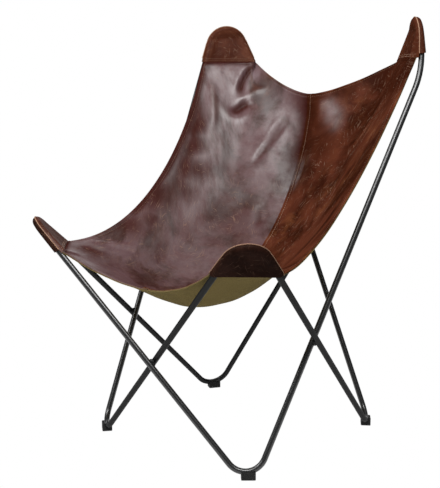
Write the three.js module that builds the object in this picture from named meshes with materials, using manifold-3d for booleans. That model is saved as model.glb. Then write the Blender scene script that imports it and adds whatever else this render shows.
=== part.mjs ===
// Butterfly sling chair: two bent steel bar loops welded where they cross, four rubber feet, and a
// leather sling with a canvas lining that hangs from the four ears of the frame by sewn pockets.
// Millimetres, +Z up, origin on the floor under the middle of the chair, front towards -Y,
// sitter's left towards +X.
import * as THREE from 'three';
import { mergeVertices } from 'three/addons/utils/BufferGeometryUtils.js';
import Module from 'manifold-3d';

const wasm = await Module();
wasm.setup();

// General fits
const CLEARANCE = 0.3;
const DEGREE = Math.PI / 180;

// Bent bar
const BAR_DIAMETER = 12;
const BAR_SIDES = 12;
const WELD_GAP = 1.2;
const FRONT_EAR_HALF_WIDTH = 268;
const FRONT_EAR_REACH = 300;
const FRONT_EAR_HEIGHT = 462;
const FRONT_EAR_BEND = 37;
const BACK_EAR_HALF_WIDTH = 263;
const BACK_EAR_REACH = 284.5;
const BACK_EAR_HEIGHT = 867;
const BACK_EAR_BEND = 42;
const BACK_EAR_LEAN_FORWARD = 6 * DEGREE;
const BACK_EAR_TURN = 50.5 * DEGREE;
const BACK_EAR_TAPER = 19.7 * DEGREE;
const BACK_EAR_LENGTH = 94;
const SHOULDER_BEND = 193;
const FRONT_FOOT_REACH = 194;
const REAR_FOOT_HALF_WIDTH = 212.5;
const REAR_FOOT_REACH = 194;
const FOOT_BEND = 40;

// Welds where the bars cross
const WELD_REACH = 10;
const WELD_RISE = 4.5;

// Rubber feet
const FOOT_SOLE = 8;
const FOOT_GRIP = 1;
const FOOT_LENGTH = 28;
const FOOT_WIDTH = 21;
const FOOT_CORNER = 3;

// Sling
const LEATHER = 2;
const CANVAS = 1;
const FRONT_POCKET_LENGTH = 77;
const FRONT_POCKET_LIFT = 10;
const BACK_POCKET_LENGTH = 75;
const BACK_POCKET_LIFT = 26;
const POCKET_LIFT_START = 20;
const POCKET_FIT = 0.4;
const POCKET_MOUTH_EASE = 2;
const POCKET_SAG = 2.5;
const POCKET_RIM_ANGLE = 31 * DEGREE;
const POCKET_RIM_SHARE = 0.14;
const POCKET_HEM = 8;
const TOP_EDGE_HEIGHT = 715;
const TOP_EDGE_REACH = 278;
const TOP_EDGE_HANG = 1.52;
const FRONT_EDGE_HEIGHT = 350;
const FRONT_EDGE_REACH = 271.5;
const FRONT_EDGE_HANG = 2;
const SEAT_HEIGHT = 291;
const SEAT_REACH = 101.5;
const SEAT_FLAT_FRONT = 80;
const SEAT_FLAT_BACK = 143;
const LUMBAR_HEIGHT = 467;
const LUMBAR_REACH = 243;
const FRONT_LIP_SLOPE = 20 * DEGREE;
const FRONT_LIP_LENGTH = 70;
const HIP_HALF_WIDTH = 222.5;
const HIP_REACH = 51.5;
const HIP_HEIGHT = 399;
const SEAT_ROUNDING = 1.58;
const HEM_FLARE = 0.56;
const HEM_FLARE_POWER = 4;
const EDGE_BLEND = 0.4;

// Main folds of the leather, each from one point of a half to another, given as shares of the way
// out from the centre seam and of the way back from the front edge
const FOLD_WIDTH = 0.07;
const RIGHT_FOLDS = [
  { from: [0.72, 0.97], to: [0.42, 0.62], height: -2.5 },
  { from: [0.52, 0.98], to: [0.2, 0.55], height: 2 },
  { from: [0.86, 0.96], to: [0.72, 0.5], height: 2 },
  { from: [0.78, 0.05], to: [0.5, 0.32], height: 2 },
];
const LEFT_FOLDS = [
  { from: [0.8, 0.97], to: [0.55, 0.6], height: 2 },
  { from: [0.2, 0.95], to: [0.14, 0.55], height: 2 },
  { from: [0.78, 0.05], to: [0.5, 0.32], height: 2 },
];

// Mesh steps and rounds of the corner search
const SOLVER_ROUNDS = 40;
const BEND_STEP = 14 * DEGREE;
const FACET_ALLOWANCE = 1.4;
const WELD_SEGMENTS = 14;
const WELD_RINGS = 8;
const FOOT_CORNER_STEPS = 4;
const PANEL_COLUMNS_TO_POCKET = 7;
const PANEL_COLUMNS_AT_POCKET = 6;
const PANEL_ROWS = 20;
const POCKET_BEND_ROWS = 6;
const POCKET_FACE_COLUMNS = 4;
const INNER_RIM_POINTS = 4;
const OUTER_RIM_POINTS = 6;
const SLOPE_STEP = 0.004;

const barRadius = BAR_DIAMETER / 2;
const barSpacing = BAR_DIAMETER + WELD_GAP;
const pocketShare = PANEL_COLUMNS_TO_POCKET / (PANEL_COLUMNS_TO_POCKET + PANEL_COLUMNS_AT_POCKET);

const vec = (x, y, z) => new THREE.Vector3(x, y, z);
const spread = (from, to, count) =>
  Array.from({ length: count }, (_, i) => THREE.MathUtils.lerp(from, to, i / (count - 1)));
const towards = (from, to) => to.clone().sub(from).normalize();
const along = (origin, axis, length) => origin.clone().addScaledVector(axis, length);

const materials = {
  steel: { color: 0x35383a, roughness: 0.45, metalness: 0.85 },
  weld: { color: 0x3b3d3e, roughness: 0.6, metalness: 0.8 },
  rubber: { color: 0x161616, roughness: 0.75, metalness: 0 },
  leather: { color: 0x512a20, roughness: 0.42, metalness: 0 },
  canvas: { color: 0x8a7a4c, roughness: 0.9, metalness: 0 },
};

const chair = new THREE.Group();
chair.name = 'butterfly_sling_chair';

function addPiece(name, geometry, finish) {
  const mesh = new THREE.Mesh(geometry, new THREE.MeshStandardMaterial(materials[finish]));
  mesh.name = name;
  chair.add(mesh);
  return mesh;
}

// Closed solids

function positionsOnly(geometry) {
  const bare = geometry.clone();
  bare.deleteAttribute('normal');
  bare.deleteAttribute('uv');
  return mergeVertices(bare);
}

function toSolid(geometry) {
  const bare = positionsOnly(geometry);
  return new wasm.Manifold(new wasm.Mesh({
    numProp: 3,
    vertProperties: new Float32Array(bare.attributes.position.array),
    triVerts: new Uint32Array(bare.index.array),
  }));
}

function toGeometry(solid) {
  const mesh = solid.getMesh();
  const geometry = new THREE.BufferGeometry();
  geometry.setAttribute('position', new THREE.BufferAttribute(mesh.vertProperties, 3));
  geometry.setIndex(new THREE.BufferAttribute(mesh.triVerts, 1));
  return geometry;
}

function signedVolume(points, triangles) {
  let sum = 0;
  for (const [a, b, c] of triangles) {
    sum += points[a].dot(points[b].clone().cross(points[c])) / 6;
  }
  return sum;
}

// A sheet between two grids of points, walled on every side that is open.
function sheet(upper, lower, closesAtLastRow) {
  const rows = upper.length;
  const columns = upper[0].length;
  const points = [...upper.flat(), ...lower.flat()];
  const up = (row, column) => row * columns + column;
  const down = (row, column) => (rows + row) * columns + column;
  const triangles = [];
  const quad = (a, b, c, d) => triangles.push([a, b, c], [a, c, d]);
  for (let row = 0; row + 1 < rows; row += 1) {
    for (let column = 0; column + 1 < columns; column += 1) {
      quad(up(row, column), up(row, column + 1), up(row + 1, column + 1), up(row + 1, column));
      quad(down(row, column), down(row + 1, column), down(row + 1, column + 1), down(row, column + 1));
    }
  }
  const last = columns - 1;
  const end = rows - 1;
  for (let row = 0; row < end; row += 1) {
    quad(up(row, 0), up(row + 1, 0), down(row + 1, 0), down(row, 0));
    quad(up(row + 1, last), up(row, last), down(row, last), down(row + 1, last));
  }
  for (let column = 0; column < last; column += 1) {
    quad(up(0, column + 1), up(0, column), down(0, column), down(0, column + 1));
    if (!closesAtLastRow) {
      quad(up(end, column), up(end, column + 1), down(end, column + 1), down(end, column));
    }
  }
  const outward = signedVolume(points, triangles) > 0;
  const order = triangles.flatMap(([a, b, c]) => (outward ? [a, b, c] : [a, c, b]));
  const geometry = new THREE.BufferGeometry();
  const coordinates = points.flatMap((point) => point.toArray());
  geometry.setAttribute('position', new THREE.Float32BufferAttribute(coordinates, 3));
  geometry.setIndex(order);
  return withoutSlivers(mergeVertices(geometry));
}

function withoutSlivers(geometry) {
  const index = geometry.index.array;
  const kept = [];
  for (let i = 0; i < index.length; i += 3) {
    const [a, b, c] = index.slice(i, i + 3);
    if (a !== b && b !== c && c !== a) {
      kept.push(a, b, c);
    }
  }
  geometry.setIndex(kept);
  return geometry;
}

// Bent bar loops

// A closed bar centre line through sharp corners, each rounded by its own bend.
class BarLoop extends THREE.Curve {
  constructor(corners) {
    super();
    this.stations = corners.flatMap((corner, i) => {
      const before = corners[(i + corners.length - 1) % corners.length].point;
      const after = corners[(i + 1) % corners.length].point;
      return bendStations(corner, before, after);
    });
  }

  station(t) {
    return this.stations[Math.round(t * this.stations.length) % this.stations.length];
  }

  getPointAt(t) {
    return this.station(t).point.clone();
  }

  getTangentAt(t) {
    return this.station(t).tangent.clone();
  }
}

function bendStations(corner, before, after) {
  const arriving = towards(before, corner.point);
  const leaving = towards(corner.point, after);
  const turn = arriving.angleTo(leaving);
  const side = leaving.clone().addScaledVector(arriving, -arriving.dot(leaving)).normalize();
  const start = along(corner.point, arriving, -corner.bend * Math.tan(turn / 2));
  const centre = along(start, side, corner.bend);
  const steps = Math.max(2, Math.ceil(turn / BEND_STEP));
  const stations = [];
  for (let i = 0; i <= steps; i += 1) {
    const angle = (turn * i) / steps;
    const point = along(centre, arriving, corner.bend * Math.sin(angle));
    point.addScaledVector(side, -corner.bend * Math.cos(angle));
    const tangent = arriving.clone().multiplyScalar(Math.cos(angle)).addScaledVector(side, Math.sin(angle));
    stations.push({ point, tangent });
  }
  return stations;
}

function barGeometry(loop, radius) {
  return positionsOnly(new THREE.TubeGeometry(loop, loop.stations.length, radius, BAR_SIDES, true));
}

// The sharp corner whose rounded bend has its crown at a given point.
function cornerOfCrown(crown, corner, first, second, bend) {
  const one = towards(corner, first);
  const two = towards(corner, second);
  const halfAngle = one.angleTo(two) / 2;
  const inward = one.add(two).normalize();
  return along(crown, inward, -bend * (1 / Math.sin(halfAngle) - 1));
}

// The two bars of one side cross at this distance, measured outward.
function sideSpacing(outer, inner) {
  const first = towards(outer.frontEar, outer.rearFoot);
  const second = towards(inner.shoulderOutside, inner.frontFoot);
  const normal = first.cross(second).normalize();
  const apart = outer.frontEar.clone().sub(inner.shoulderOutside).dot(normal);
  return Math.abs(apart);
}

const backEarAxis = vec(0, Math.sin(BACK_EAR_LEAN_FORWARD), -Math.cos(BACK_EAR_LEAN_FORWARD));

// Corners of one loop, from its front right ear by its front left foot to its back left ear.
function loopCorners(frontFootHalfWidth) {
  const crownHeight = FOOT_SOLE + barRadius;
  const frontCrown = vec(-FRONT_EAR_HALF_WIDTH, -FRONT_EAR_REACH, FRONT_EAR_HEIGHT);
  const backCrown = vec(BACK_EAR_HALF_WIDTH, BACK_EAR_REACH, BACK_EAR_HEIGHT);
  const frontFootCrown = vec(frontFootHalfWidth, -FRONT_FOOT_REACH, crownHeight);
  const rearFootCrown = vec(-REAR_FOOT_HALF_WIDTH, REAR_FOOT_REACH, crownHeight);
  const across = vec(Math.cos(BACK_EAR_TURN), -Math.sin(BACK_EAR_TURN), 0);
  across.addScaledVector(backEarAxis, -across.dot(backEarAxis)).normalize();
  const rise = BACK_EAR_BEND * (1 / Math.sin(BACK_EAR_TAPER) - 1);
  const spread = (BACK_EAR_LENGTH + rise) * Math.tan(BACK_EAR_TAPER);
  const middle = along(backCrown, backEarAxis, BACK_EAR_LENGTH);
  const corners = {
    frontEar: frontCrown.clone(),
    frontFoot: frontFootCrown.clone(),
    shoulderOutside: along(middle, across, spread),
    backEar: along(backCrown, backEarAxis, -rise),
    shoulderInside: along(middle, across, -spread),
    rearFoot: rearFootCrown.clone(),
  };
  for (let i = 0; i < SOLVER_ROUNDS; i += 1) {
    const { frontEar, frontFoot, rearFoot, shoulderOutside, shoulderInside } = corners;
    corners.frontEar = cornerOfCrown(frontCrown, frontEar, frontFoot, rearFoot, FRONT_EAR_BEND);
    const ear = corners.frontEar;
    corners.frontFoot = cornerOfCrown(frontFootCrown, frontFoot, ear, shoulderOutside, FOOT_BEND);
    corners.rearFoot = cornerOfCrown(rearFootCrown, rearFoot, ear, shoulderInside, FOOT_BEND);
  }
  return corners;
}

const mirrored = (point) => vec(-point.x, point.y, point.z);
const mapCorners = (corners, change) =>
  Object.fromEntries(Object.entries(corners).map(([name, point]) => [name, change(point)]));

// The front feet stand where the bars of each side just meet.
function settledCorners() {
  let frontFootHalfWidth = REAR_FOOT_HALF_WIDTH;
  let corners = loopCorners(frontFootHalfWidth);
  for (let i = 0; i < SOLVER_ROUNDS; i += 1) {
    frontFootHalfWidth += sideSpacing(mapCorners(corners, mirrored), corners) - barSpacing;
    corners = loopCorners(frontFootHalfWidth);
  }
  return corners;
}

const corners = settledCorners();
const frontBar = corners.frontFoot.clone().sub(corners.frontEar);
const loopOffset = barSpacing / 2 * Math.hypot(frontBar.y, frontBar.z) / Math.abs(frontBar.z);
const loopA = mapCorners(corners, (p) => vec(p.x, p.y - loopOffset, p.z));
const loopB = mapCorners(corners, (p) => vec(-p.x, p.y + loopOffset, p.z));

function loopCurve(loop) {
  return new BarLoop([
    { point: loop.frontEar, bend: FRONT_EAR_BEND },
    { point: loop.frontFoot, bend: FOOT_BEND },
    { point: loop.shoulderOutside, bend: SHOULDER_BEND },
    { point: loop.backEar, bend: BACK_EAR_BEND },
    { point: loop.shoulderInside, bend: SHOULDER_BEND },
    { point: loop.rearFoot, bend: FOOT_BEND },
  ]);
}

const curveA = loopCurve(loopA);
const curveB = loopCurve(loopB);
addPiece('bar_loop_a', barGeometry(curveA, barRadius), 'steel');
addPiece('bar_loop_b', barGeometry(curveB, barRadius), 'steel');

// Welds

function nearestPoints(a, b, c, d) {
  const first = towards(a, b);
  const second = towards(c, d);
  const normal = first.clone().cross(second);
  const size = normal.lengthSq();
  const apart = c.clone().sub(a);
  const onFirst = along(a, first, apart.clone().cross(second).dot(normal) / size);
  const onSecond = along(c, second, apart.clone().cross(first).dot(normal) / size);
  return { onFirst, onSecond, first, second };
}

// The room that a bar takes out of a weld, longer than the weld is wide.
function barCutter(point, axis) {
  const radius = barRadius + CLEARANCE * FACET_ALLOWANCE;
  const length = 4 * WELD_REACH;
  const cutter = new THREE.CylinderGeometry(radius, radius, length, BAR_SIDES);
  cutter.applyQuaternion(new THREE.Quaternion().setFromUnitVectors(vec(0, 1, 0), axis));
  return cutter.translate(...point.toArray());
}

function weldAt(a, b, c, d) {
  const { onFirst, onSecond, first, second } = nearestPoints(a, b, c, d);
  const out = towards(onFirst, onSecond);
  const lengthways = first.clone().add(second).normalize();
  const sideways = out.clone().cross(lengthways).normalize();
  const bead = new THREE.SphereGeometry(1, WELD_SEGMENTS, WELD_RINGS);
  bead.scale(WELD_REACH, WELD_REACH, WELD_RISE);
  bead.applyMatrix4(new THREE.Matrix4().makeBasis(lengthways, sideways, out));
  bead.translate(...onFirst.clone().lerp(onSecond, 0.5).toArray());
  return toGeometry(toSolid(bead)
    .subtract(toSolid(barCutter(onFirst, first)))
    .subtract(toSolid(barCutter(onSecond, second))));
}

const { frontEar: earA, frontFoot: footA, rearFoot: heelA } = loopA;
const { frontEar: earB, frontFoot: footB, rearFoot: heelB } = loopB;
addPiece('weld_front', weldAt(earA, footA, earB, footB), 'weld');
addPiece('weld_rear', weldAt(loopA.shoulderInside, heelA, loopB.shoulderInside, heelB), 'weld');
addPiece('weld_left', weldAt(loopA.shoulderOutside, footA, earB, heelB), 'weld');
addPiece('weld_right', weldAt(loopB.shoulderOutside, footB, earA, heelA), 'weld');

// Feet

function roundedRectangle(width, depth, corner) {
  const shape = new THREE.Shape();
  const x = width / 2 - corner;
  const y = depth / 2 - corner;
  shape.absarc(x, y, corner, 0, Math.PI / 2);
  shape.absarc(-x, y, corner, Math.PI / 2, Math.PI);
  shape.absarc(-x, -y, corner, Math.PI, 1.5 * Math.PI);
  shape.absarc(x, -y, corner, 1.5 * Math.PI, 2 * Math.PI);
  return shape;
}

function footUnder(corner, first, second, curve) {
  const one = towards(corner, first);
  const two = towards(corner, second);
  const halfAngle = one.angleTo(two) / 2;
  const inward = one.clone().add(two).normalize();
  const crown = along(corner, inward, FOOT_BEND * (1 / Math.sin(halfAngle) - 1));
  const run = one.sub(two);
  const height = FOOT_SOLE + barRadius + FOOT_GRIP;
  const shape = roundedRectangle(FOOT_LENGTH, FOOT_WIDTH, FOOT_CORNER);
  const block = new THREE.ExtrudeGeometry(shape, {
    depth: height,
    bevelEnabled: false,
    curveSegments: FOOT_CORNER_STEPS,
  });
  block.rotateZ(Math.atan2(run.y, run.x));
  block.translate(crown.x, crown.y, 0);
  return toGeometry(toSolid(block).subtract(toSolid(barGeometry(curve, barRadius + CLEARANCE))));
}

addPiece('foot_front_left', footUnder(footA, earA, loopA.shoulderOutside, curveA), 'rubber');
addPiece('foot_front_right', footUnder(footB, earB, loopB.shoulderOutside, curveB), 'rubber');
addPiece('foot_rear_right', footUnder(heelA, earA, loopA.shoulderInside, curveA), 'rubber');
addPiece('foot_rear_left', footUnder(heelB, earB, loopB.shoulderInside, curveB), 'rubber');

// Ear pockets

// The frame of one ear: where its crown is, which way is down to the seat, out to the side edge of
// the sling and in towards the sitter, and how its two legs run.
function earFrame(corner, outerLeg, innerLeg, bend, pocketLength, lift) {
  const outer = towards(corner, outerLeg);
  const inner = towards(corner, innerLeg);
  const taper = outer.angleTo(inner) / 2;
  const down = outer.clone().add(inner).normalize();
  const across = outer.clone().sub(inner).normalize();
  const inward = across.clone().cross(down).normalize();
  const centreOfChair = vec(0, 0, corner.z);
  if (inward.dot(towards(corner, centreOfChair)) < 0) {
    inward.negate();
  }
  const crown = along(corner, down, bend * (1 / Math.sin(taper) - 1));
  return { crown, down, across, inward, taper, bend, pocketLength, lift };
}

function earPoint(ear, a, l, n) {
  return along(along(along(ear.crown, ear.across, a), ear.down, l), ear.inward, n);
}

// Half width between the bar's centre lines, a distance below the crown on the straight legs.
function legHalfWidth(ear, l) {
  return (l + ear.bend * (1 / Math.sin(ear.taper) - 1)) * Math.tan(ear.taper);
}

// How far the leather stands off the plane of the ear on the sitter's side. It follows the bar round
// the crown, then leaves it towards the seat.
function pocketLift(ear, l, skin) {
  const share = Math.max(0, (l - POCKET_LIFT_START) / (ear.pocketLength - POCKET_LIFT_START));
  const atCrown = barRadius + POCKET_FIT;
  return THREE.MathUtils.lerp(atCrown, ear.lift, share) + skin;
}

// A point of the pocket's skin beside the bar: at an angle round the bar, on the leg of one hand.
function pocketRimPoint(ear, row, hand, angle, skin) {
  const offset = (barRadius + POCKET_FIT + skin) * Math.cos(angle);
  const depth = angle > 0 ? pocketLift(ear, row.level, skin) : barRadius + POCKET_FIT + skin;
  const n = depth * Math.sin(angle);
  if (row.straight) {
    const ease = POCKET_MOUTH_EASE * row.level / ear.pocketLength;
    const reach = legHalfWidth(ear, row.level) + offset / Math.cos(ear.taper) + ease;
    return earPoint(ear, hand * reach, row.level, n);
  }
  const reach = ear.bend + offset;
  return earPoint(ear, hand * reach * Math.sin(row.angle), ear.bend - reach * Math.cos(row.angle), n);
}

// A point between the two legs, on the sitter's side or the outer side.
function pocketFacePoint(ear, row, share, side, skin) {
  const halfWidth = row.straight ? legHalfWidth(ear, row.level) : ear.bend * Math.sin(row.angle);
  const sag = POCKET_SAG * (1 - share * share) * (halfWidth / legHalfWidth(ear, ear.pocketLength));
  const depth = side > 0 ? pocketLift(ear, row.level, skin) : barRadius + POCKET_FIT + skin;
  return earPoint(ear, share * halfWidth, row.level, side * (depth - sag));
}

// Rows from the pocket's open end to the crown: straight legs first, then round the bend.
function pocketRows(ear, length) {
  const turn = Math.PI / 2 - ear.taper;
  const tangentLevel = ear.bend * (1 - Math.cos(turn));
  const rows = [length, (length + tangentLevel) / 2].map((level) => ({ straight: true, level }));
  for (let i = POCKET_BEND_ROWS; i >= 0; i -= 1) {
    const angle = (turn * i) / POCKET_BEND_ROWS;
    rows.push({ straight: false, angle, level: ear.bend * (1 - Math.cos(angle)) });
  }
  return rows;
}

const faceShares = spread(-1, 1, POCKET_FACE_COLUMNS + 1).slice(1, -1);

function pocketGrid(ear, length, angles, side, skin) {
  return pocketRows(ear, length).map((row) => [
    ...angles.map((angle) => pocketRimPoint(ear, row, -1, angle, skin)),
    ...faceShares.map((share) => pocketFacePoint(ear, row, share, side, skin)),
    ...angles.toReversed().map((angle) => pocketRimPoint(ear, row, 1, angle, skin)),
  ]);
}

// The two caps of a pocket meet along a seam that runs round the bar's outer side.
const rimGap = FACET_ALLOWANCE * CLEARANCE / (barRadius + POCKET_FIT);
const innerAngles = spread(POCKET_RIM_ANGLE, Math.PI / 2, INNER_RIM_POINTS);
const outerAngles = spread(POCKET_RIM_ANGLE - rimGap, -Math.PI / 2, OUTER_RIM_POINTS);

function innerCap(ear) {
  const upper = pocketGrid(ear, ear.pocketLength, innerAngles, 1, LEATHER);
  const lower = pocketGrid(ear, ear.pocketLength, innerAngles, 1, 0);
  return sheet(upper, lower, true);
}

function outerCap(ear) {
  const length = ear.pocketLength - POCKET_HEM;
  const upper = pocketGrid(ear, length, outerAngles, -1, LEATHER);
  const lower = pocketGrid(ear, length, outerAngles, -1, 0);
  return sheet(upper, lower, true);
}

const backEar = (loop) => earFrame(loop.backEar, loop.shoulderOutside, loop.shoulderInside,
  BACK_EAR_BEND, BACK_POCKET_LENGTH, BACK_POCKET_LIFT);
const frontEar = (loop) => earFrame(loop.frontEar, loop.rearFoot, loop.frontFoot,
  FRONT_EAR_BEND, FRONT_POCKET_LENGTH, FRONT_POCKET_LIFT);
const ears = {
  back_left: backEar(loopA),
  back_right: backEar(loopB),
  front_left: frontEar(loopB),
  front_right: frontEar(loopA),
};
for (const [place, ear] of Object.entries(ears)) {
  addPiece(`pocket_inner_${place}`, innerCap(ear), 'leather');
  addPiece(`pocket_outer_${place}`, outerCap(ear), 'leather');
}

// Sling panels

// The seam across a pocket, from its end near the centre of the chair to its end at the side edge.
function pocketSeam(ear, share) {
  const row = { straight: true, level: ear.pocketLength };
  const hand = share < 0.5 ? -1 : 1;
  const fromEnd = Math.min(share, 1 - share) / POCKET_RIM_SHARE;
  let point;
  if (fromEnd < 1) {
    const angle = THREE.MathUtils.lerp(POCKET_RIM_ANGLE, Math.PI / 2, fromEnd);
    point = pocketRimPoint(ear, row, hand, angle, 0);
  } else {
    const place = THREE.MathUtils.mapLinear(share, POCKET_RIM_SHARE, 1 - POCKET_RIM_SHARE, -1, 1);
    point = pocketFacePoint(ear, row, place, 1, 0);
  }
  return point.addScaledVector(ear.down, CLEARANCE);
}

// A line that hangs as half a garland, level where it starts. At a hang of 2 it is a parabola, and
// below 2 it is straighter towards its end.
function hangingLine(start, end, share, hang) {
  const rise = share ** hang;
  return vec(
    THREE.MathUtils.lerp(start.x, end.x, share),
    THREE.MathUtils.lerp(start.y, end.y, rise),
    THREE.MathUtils.lerp(start.z, end.z, rise),
  );
}

// A free edge that hangs from the middle of the chair to a pocket, then the pocket's seam.
function crossEdge(middle, ear, share, hang) {
  if (share > pocketShare) {
    return pocketSeam(ear, (share - pocketShare) / (1 - pocketShare));
  }
  return hangingLine(middle, pocketSeam(ear, 0), share / pocketShare, hang);
}

// How much an edge's own shape still counts, from all at the edge to none further in.
function edgeWeight(share) {
  return Math.max(0, (share - 1 + EDGE_BLEND) / EDGE_BLEND) ** 2;
}

// The line down the middle of the sling, from its front edge by the seat to its top edge.
function centreProfile() {
  const front = vec(0, -FRONT_EDGE_REACH, FRONT_EDGE_HEIGHT);
  const lip = vec(0, Math.cos(FRONT_LIP_SLOPE), -Math.sin(FRONT_LIP_SLOPE));
  const seat = vec(0, -SEAT_REACH, SEAT_HEIGHT);
  const top = vec(0, TOP_EDGE_REACH, TOP_EDGE_HEIGHT);
  const seatFront = vec(0, seat.y - SEAT_FLAT_FRONT, seat.z);
  const seatBack = vec(0, seat.y + SEAT_FLAT_BACK, seat.z);
  const lumbar = vec(0, LUMBAR_REACH, LUMBAR_HEIGHT);
  const profile = new THREE.CurvePath();
  profile.add(new THREE.CubicBezierCurve3(front, along(front, lip, FRONT_LIP_LENGTH), seatFront, seat));
  profile.add(new THREE.CubicBezierCurve3(seat, seatBack, lumbar, top));
  return profile;
}

// Surface of one half of the sling, the underside of its leather: share out runs from the centre
// seam to the side edge, share back from the front edge to the top edge.
function halfSurface(hand, front, back, folds) {
  const centre = centreProfile();
  const hip = vec(hand * HIP_HALF_WIDTH, HIP_REACH, HIP_HEIGHT);
  const frontEnd = pocketSeam(front, 1);
  const backEnd = pocketSeam(back, 1);
  const side = new THREE.CubicBezierCurve3(frontEnd, hip, backEnd, backEnd);
  const frontMiddle = centre.getPointAt(0);
  const backMiddle = centre.getPointAt(1);
  const base = (out, rear) => {
    const flare = HEM_FLARE * out ** HEM_FLARE_POWER * (1 - out);
    const rounded = out ** SEAT_ROUNDING + flare;
    const frontLine = hangingLine(frontMiddle, frontEnd, out, FRONT_EDGE_HANG);
    const backLine = hangingLine(backMiddle, backEnd, out, TOP_EDGE_HANG);
    const frontEdge = crossEdge(frontMiddle, front, out, FRONT_EDGE_HANG);
    const backEdge = crossEdge(backMiddle, back, out, TOP_EDGE_HANG);
    const point = frontLine.clone().lerp(backLine, rear);
    point.addScaledVector(frontEdge.sub(frontLine), edgeWeight(1 - rear));
    point.addScaledVector(backEdge.sub(backLine), edgeWeight(rear));
    const centreShift = centre.getPointAt(rear).sub(frontMiddle.clone().lerp(backMiddle, rear));
    const sideShift = side.getPointAt(rear).sub(frontEnd.clone().lerp(backEnd, rear));
    return point.addScaledVector(centreShift, 1 - rounded).addScaledVector(sideShift, rounded);
  };
  const normalAt = (out, rear) => {
    const low = (share) => Math.max(0, share - SLOPE_STEP);
    const high = (share) => Math.min(1, share + SLOPE_STEP);
    const outward = base(high(out), rear).sub(base(low(out), rear));
    const backward = base(out, high(rear)).sub(base(out, low(rear)));
    const normal = outward.cross(backward).multiplyScalar(hand);
    if (out === 0) {
      normal.x = 0;
    }
    return normal.normalize();
  };
  return (out, rear) => {
    const normal = normalAt(out, rear);
    const point = base(out, rear).addScaledVector(normal, foldHeight(folds, out, rear));
    return { point, normal: atPocketSeam(out, rear, front, back) ?? normal };
  };
}

function atPocketSeam(out, rear, front, back) {
  if (out < pocketShare || (rear > 0 && rear < 1)) {
    return null;
  }
  return rear === 0 ? front.inward : back.inward;
}

// Height of the folds at a point: each is a ridge or a valley that fades at its ends and sides.
function foldHeight(folds, out, rear) {
  let height = 0;
  for (const fold of folds) {
    const axis = new THREE.Vector2(fold.to[0] - fold.from[0], fold.to[1] - fold.from[1]);
    const place = new THREE.Vector2(out - fold.from[0], rear - fold.from[1]);
    const share = place.dot(axis) / axis.lengthSq();
    if (share > 0 && share < 1) {
      const beside = place.cross(axis) / axis.length() / FOLD_WIDTH;
      height += fold.height * Math.sin(Math.PI * share) * Math.exp(-beside * beside);
    }
  }
  return height;
}

const panelShares = [
  ...spread(0, pocketShare, PANEL_COLUMNS_TO_POCKET + 1),
  ...spread(pocketShare, 1, PANEL_COLUMNS_AT_POCKET + 1).slice(1),
];

function surfaceRow(surface, rear, height) {
  return panelShares.map((out) => {
    const { point, normal } = surface(out, rear);
    return along(point, normal, height);
  });
}

const panelRows = spread(0, 1, PANEL_ROWS + 1);

// One leather half, which stops just short of the centre line where it meets the other. Rows run
// from right to left, as the lining's do, so that the facets of the two layers match.
function leatherPanel(hand, surface) {
  const level = (height) => panelRows.map((rear) => {
    const row = surfaceRow(surface, rear, height);
    row[0].x = hand * CLEARANCE / 2;
    return hand > 0 ? row : row.toReversed();
  });
  return sheet(level(LEATHER), level(0), false);
}

// The lining is one piece under both halves.
function canvasLining(left, right) {
  const level = (height) => panelRows.map((rear) => [
    ...surfaceRow(right, rear, height).slice(1).toReversed(),
    ...surfaceRow(left, rear, height),
  ]);
  return sheet(level(-CLEARANCE), level(-CLEARANCE - CANVAS), false);
}

const leftSurface = halfSurface(1, ears.front_left, ears.back_left, LEFT_FOLDS);
const rightSurface = halfSurface(-1, ears.front_right, ears.back_right, RIGHT_FOLDS);
addPiece('leather_panel_left', leatherPanel(1, leftSurface), 'leather');
addPiece('leather_panel_right', leatherPanel(-1, rightSurface), 'leather');
addPiece('canvas_lining', canvasLining(leftSurface, rightSurface), 'canvas');

// The origin lies under the middle of the chair's outline.
const outline = new THREE.Box3().setFromObject(chair);
chair.position.y = -(outline.min.y + outline.max.y) / 2;

export default chair;
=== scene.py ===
import math

import bmesh
import bpy
import numpy as np
from mathutils import Matrix, Vector


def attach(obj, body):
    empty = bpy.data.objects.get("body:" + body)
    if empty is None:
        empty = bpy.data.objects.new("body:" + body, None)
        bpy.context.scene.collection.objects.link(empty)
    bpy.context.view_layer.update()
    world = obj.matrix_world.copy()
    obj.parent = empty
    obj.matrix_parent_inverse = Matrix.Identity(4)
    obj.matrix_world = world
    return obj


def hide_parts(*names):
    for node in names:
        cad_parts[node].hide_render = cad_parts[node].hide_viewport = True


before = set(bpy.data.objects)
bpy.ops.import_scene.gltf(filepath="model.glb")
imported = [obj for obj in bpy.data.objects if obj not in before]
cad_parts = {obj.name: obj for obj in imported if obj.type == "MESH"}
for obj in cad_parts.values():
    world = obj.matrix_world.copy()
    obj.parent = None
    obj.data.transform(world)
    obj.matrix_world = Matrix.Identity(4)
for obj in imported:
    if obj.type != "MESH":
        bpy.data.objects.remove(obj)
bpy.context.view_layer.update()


# Bent bars
# Two closed loops of 12 mm round steel, each bent cold from one length and butt-welded, then painted
# satin black-grey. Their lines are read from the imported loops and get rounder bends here.
BAR_RADIUS = 0.006
BAR_ROUNDNESS = 6
RING_EDGE = 0.004
SAME_POINT = 1e-5
STRAIGHT_WITHIN = math.cos(math.radians(1))
FINE_BEND_STEP = math.radians(3)
LEAST_BEND_POINTS = 3
LOOP_CORNERS = (
    "back_ear", "shoulder_outside", "front_foot", "front_ear", "rear_foot", "shoulder_inside")
PAINT = (0.011, 0.0113, 0.0117, 1)
RUBBED_PAINT = (0.016, 0.016, 0.0155, 1)
COVER_PATCHES = {"detail": 4, "roughness": 0.6}
COVER_RUBS = {"detail": 6, "roughness": 0.7}
RUB_FINENESS = 3.0
RUBBED_THROUGH = ((0.62, 0.0), (0.74, 1.0))
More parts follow.
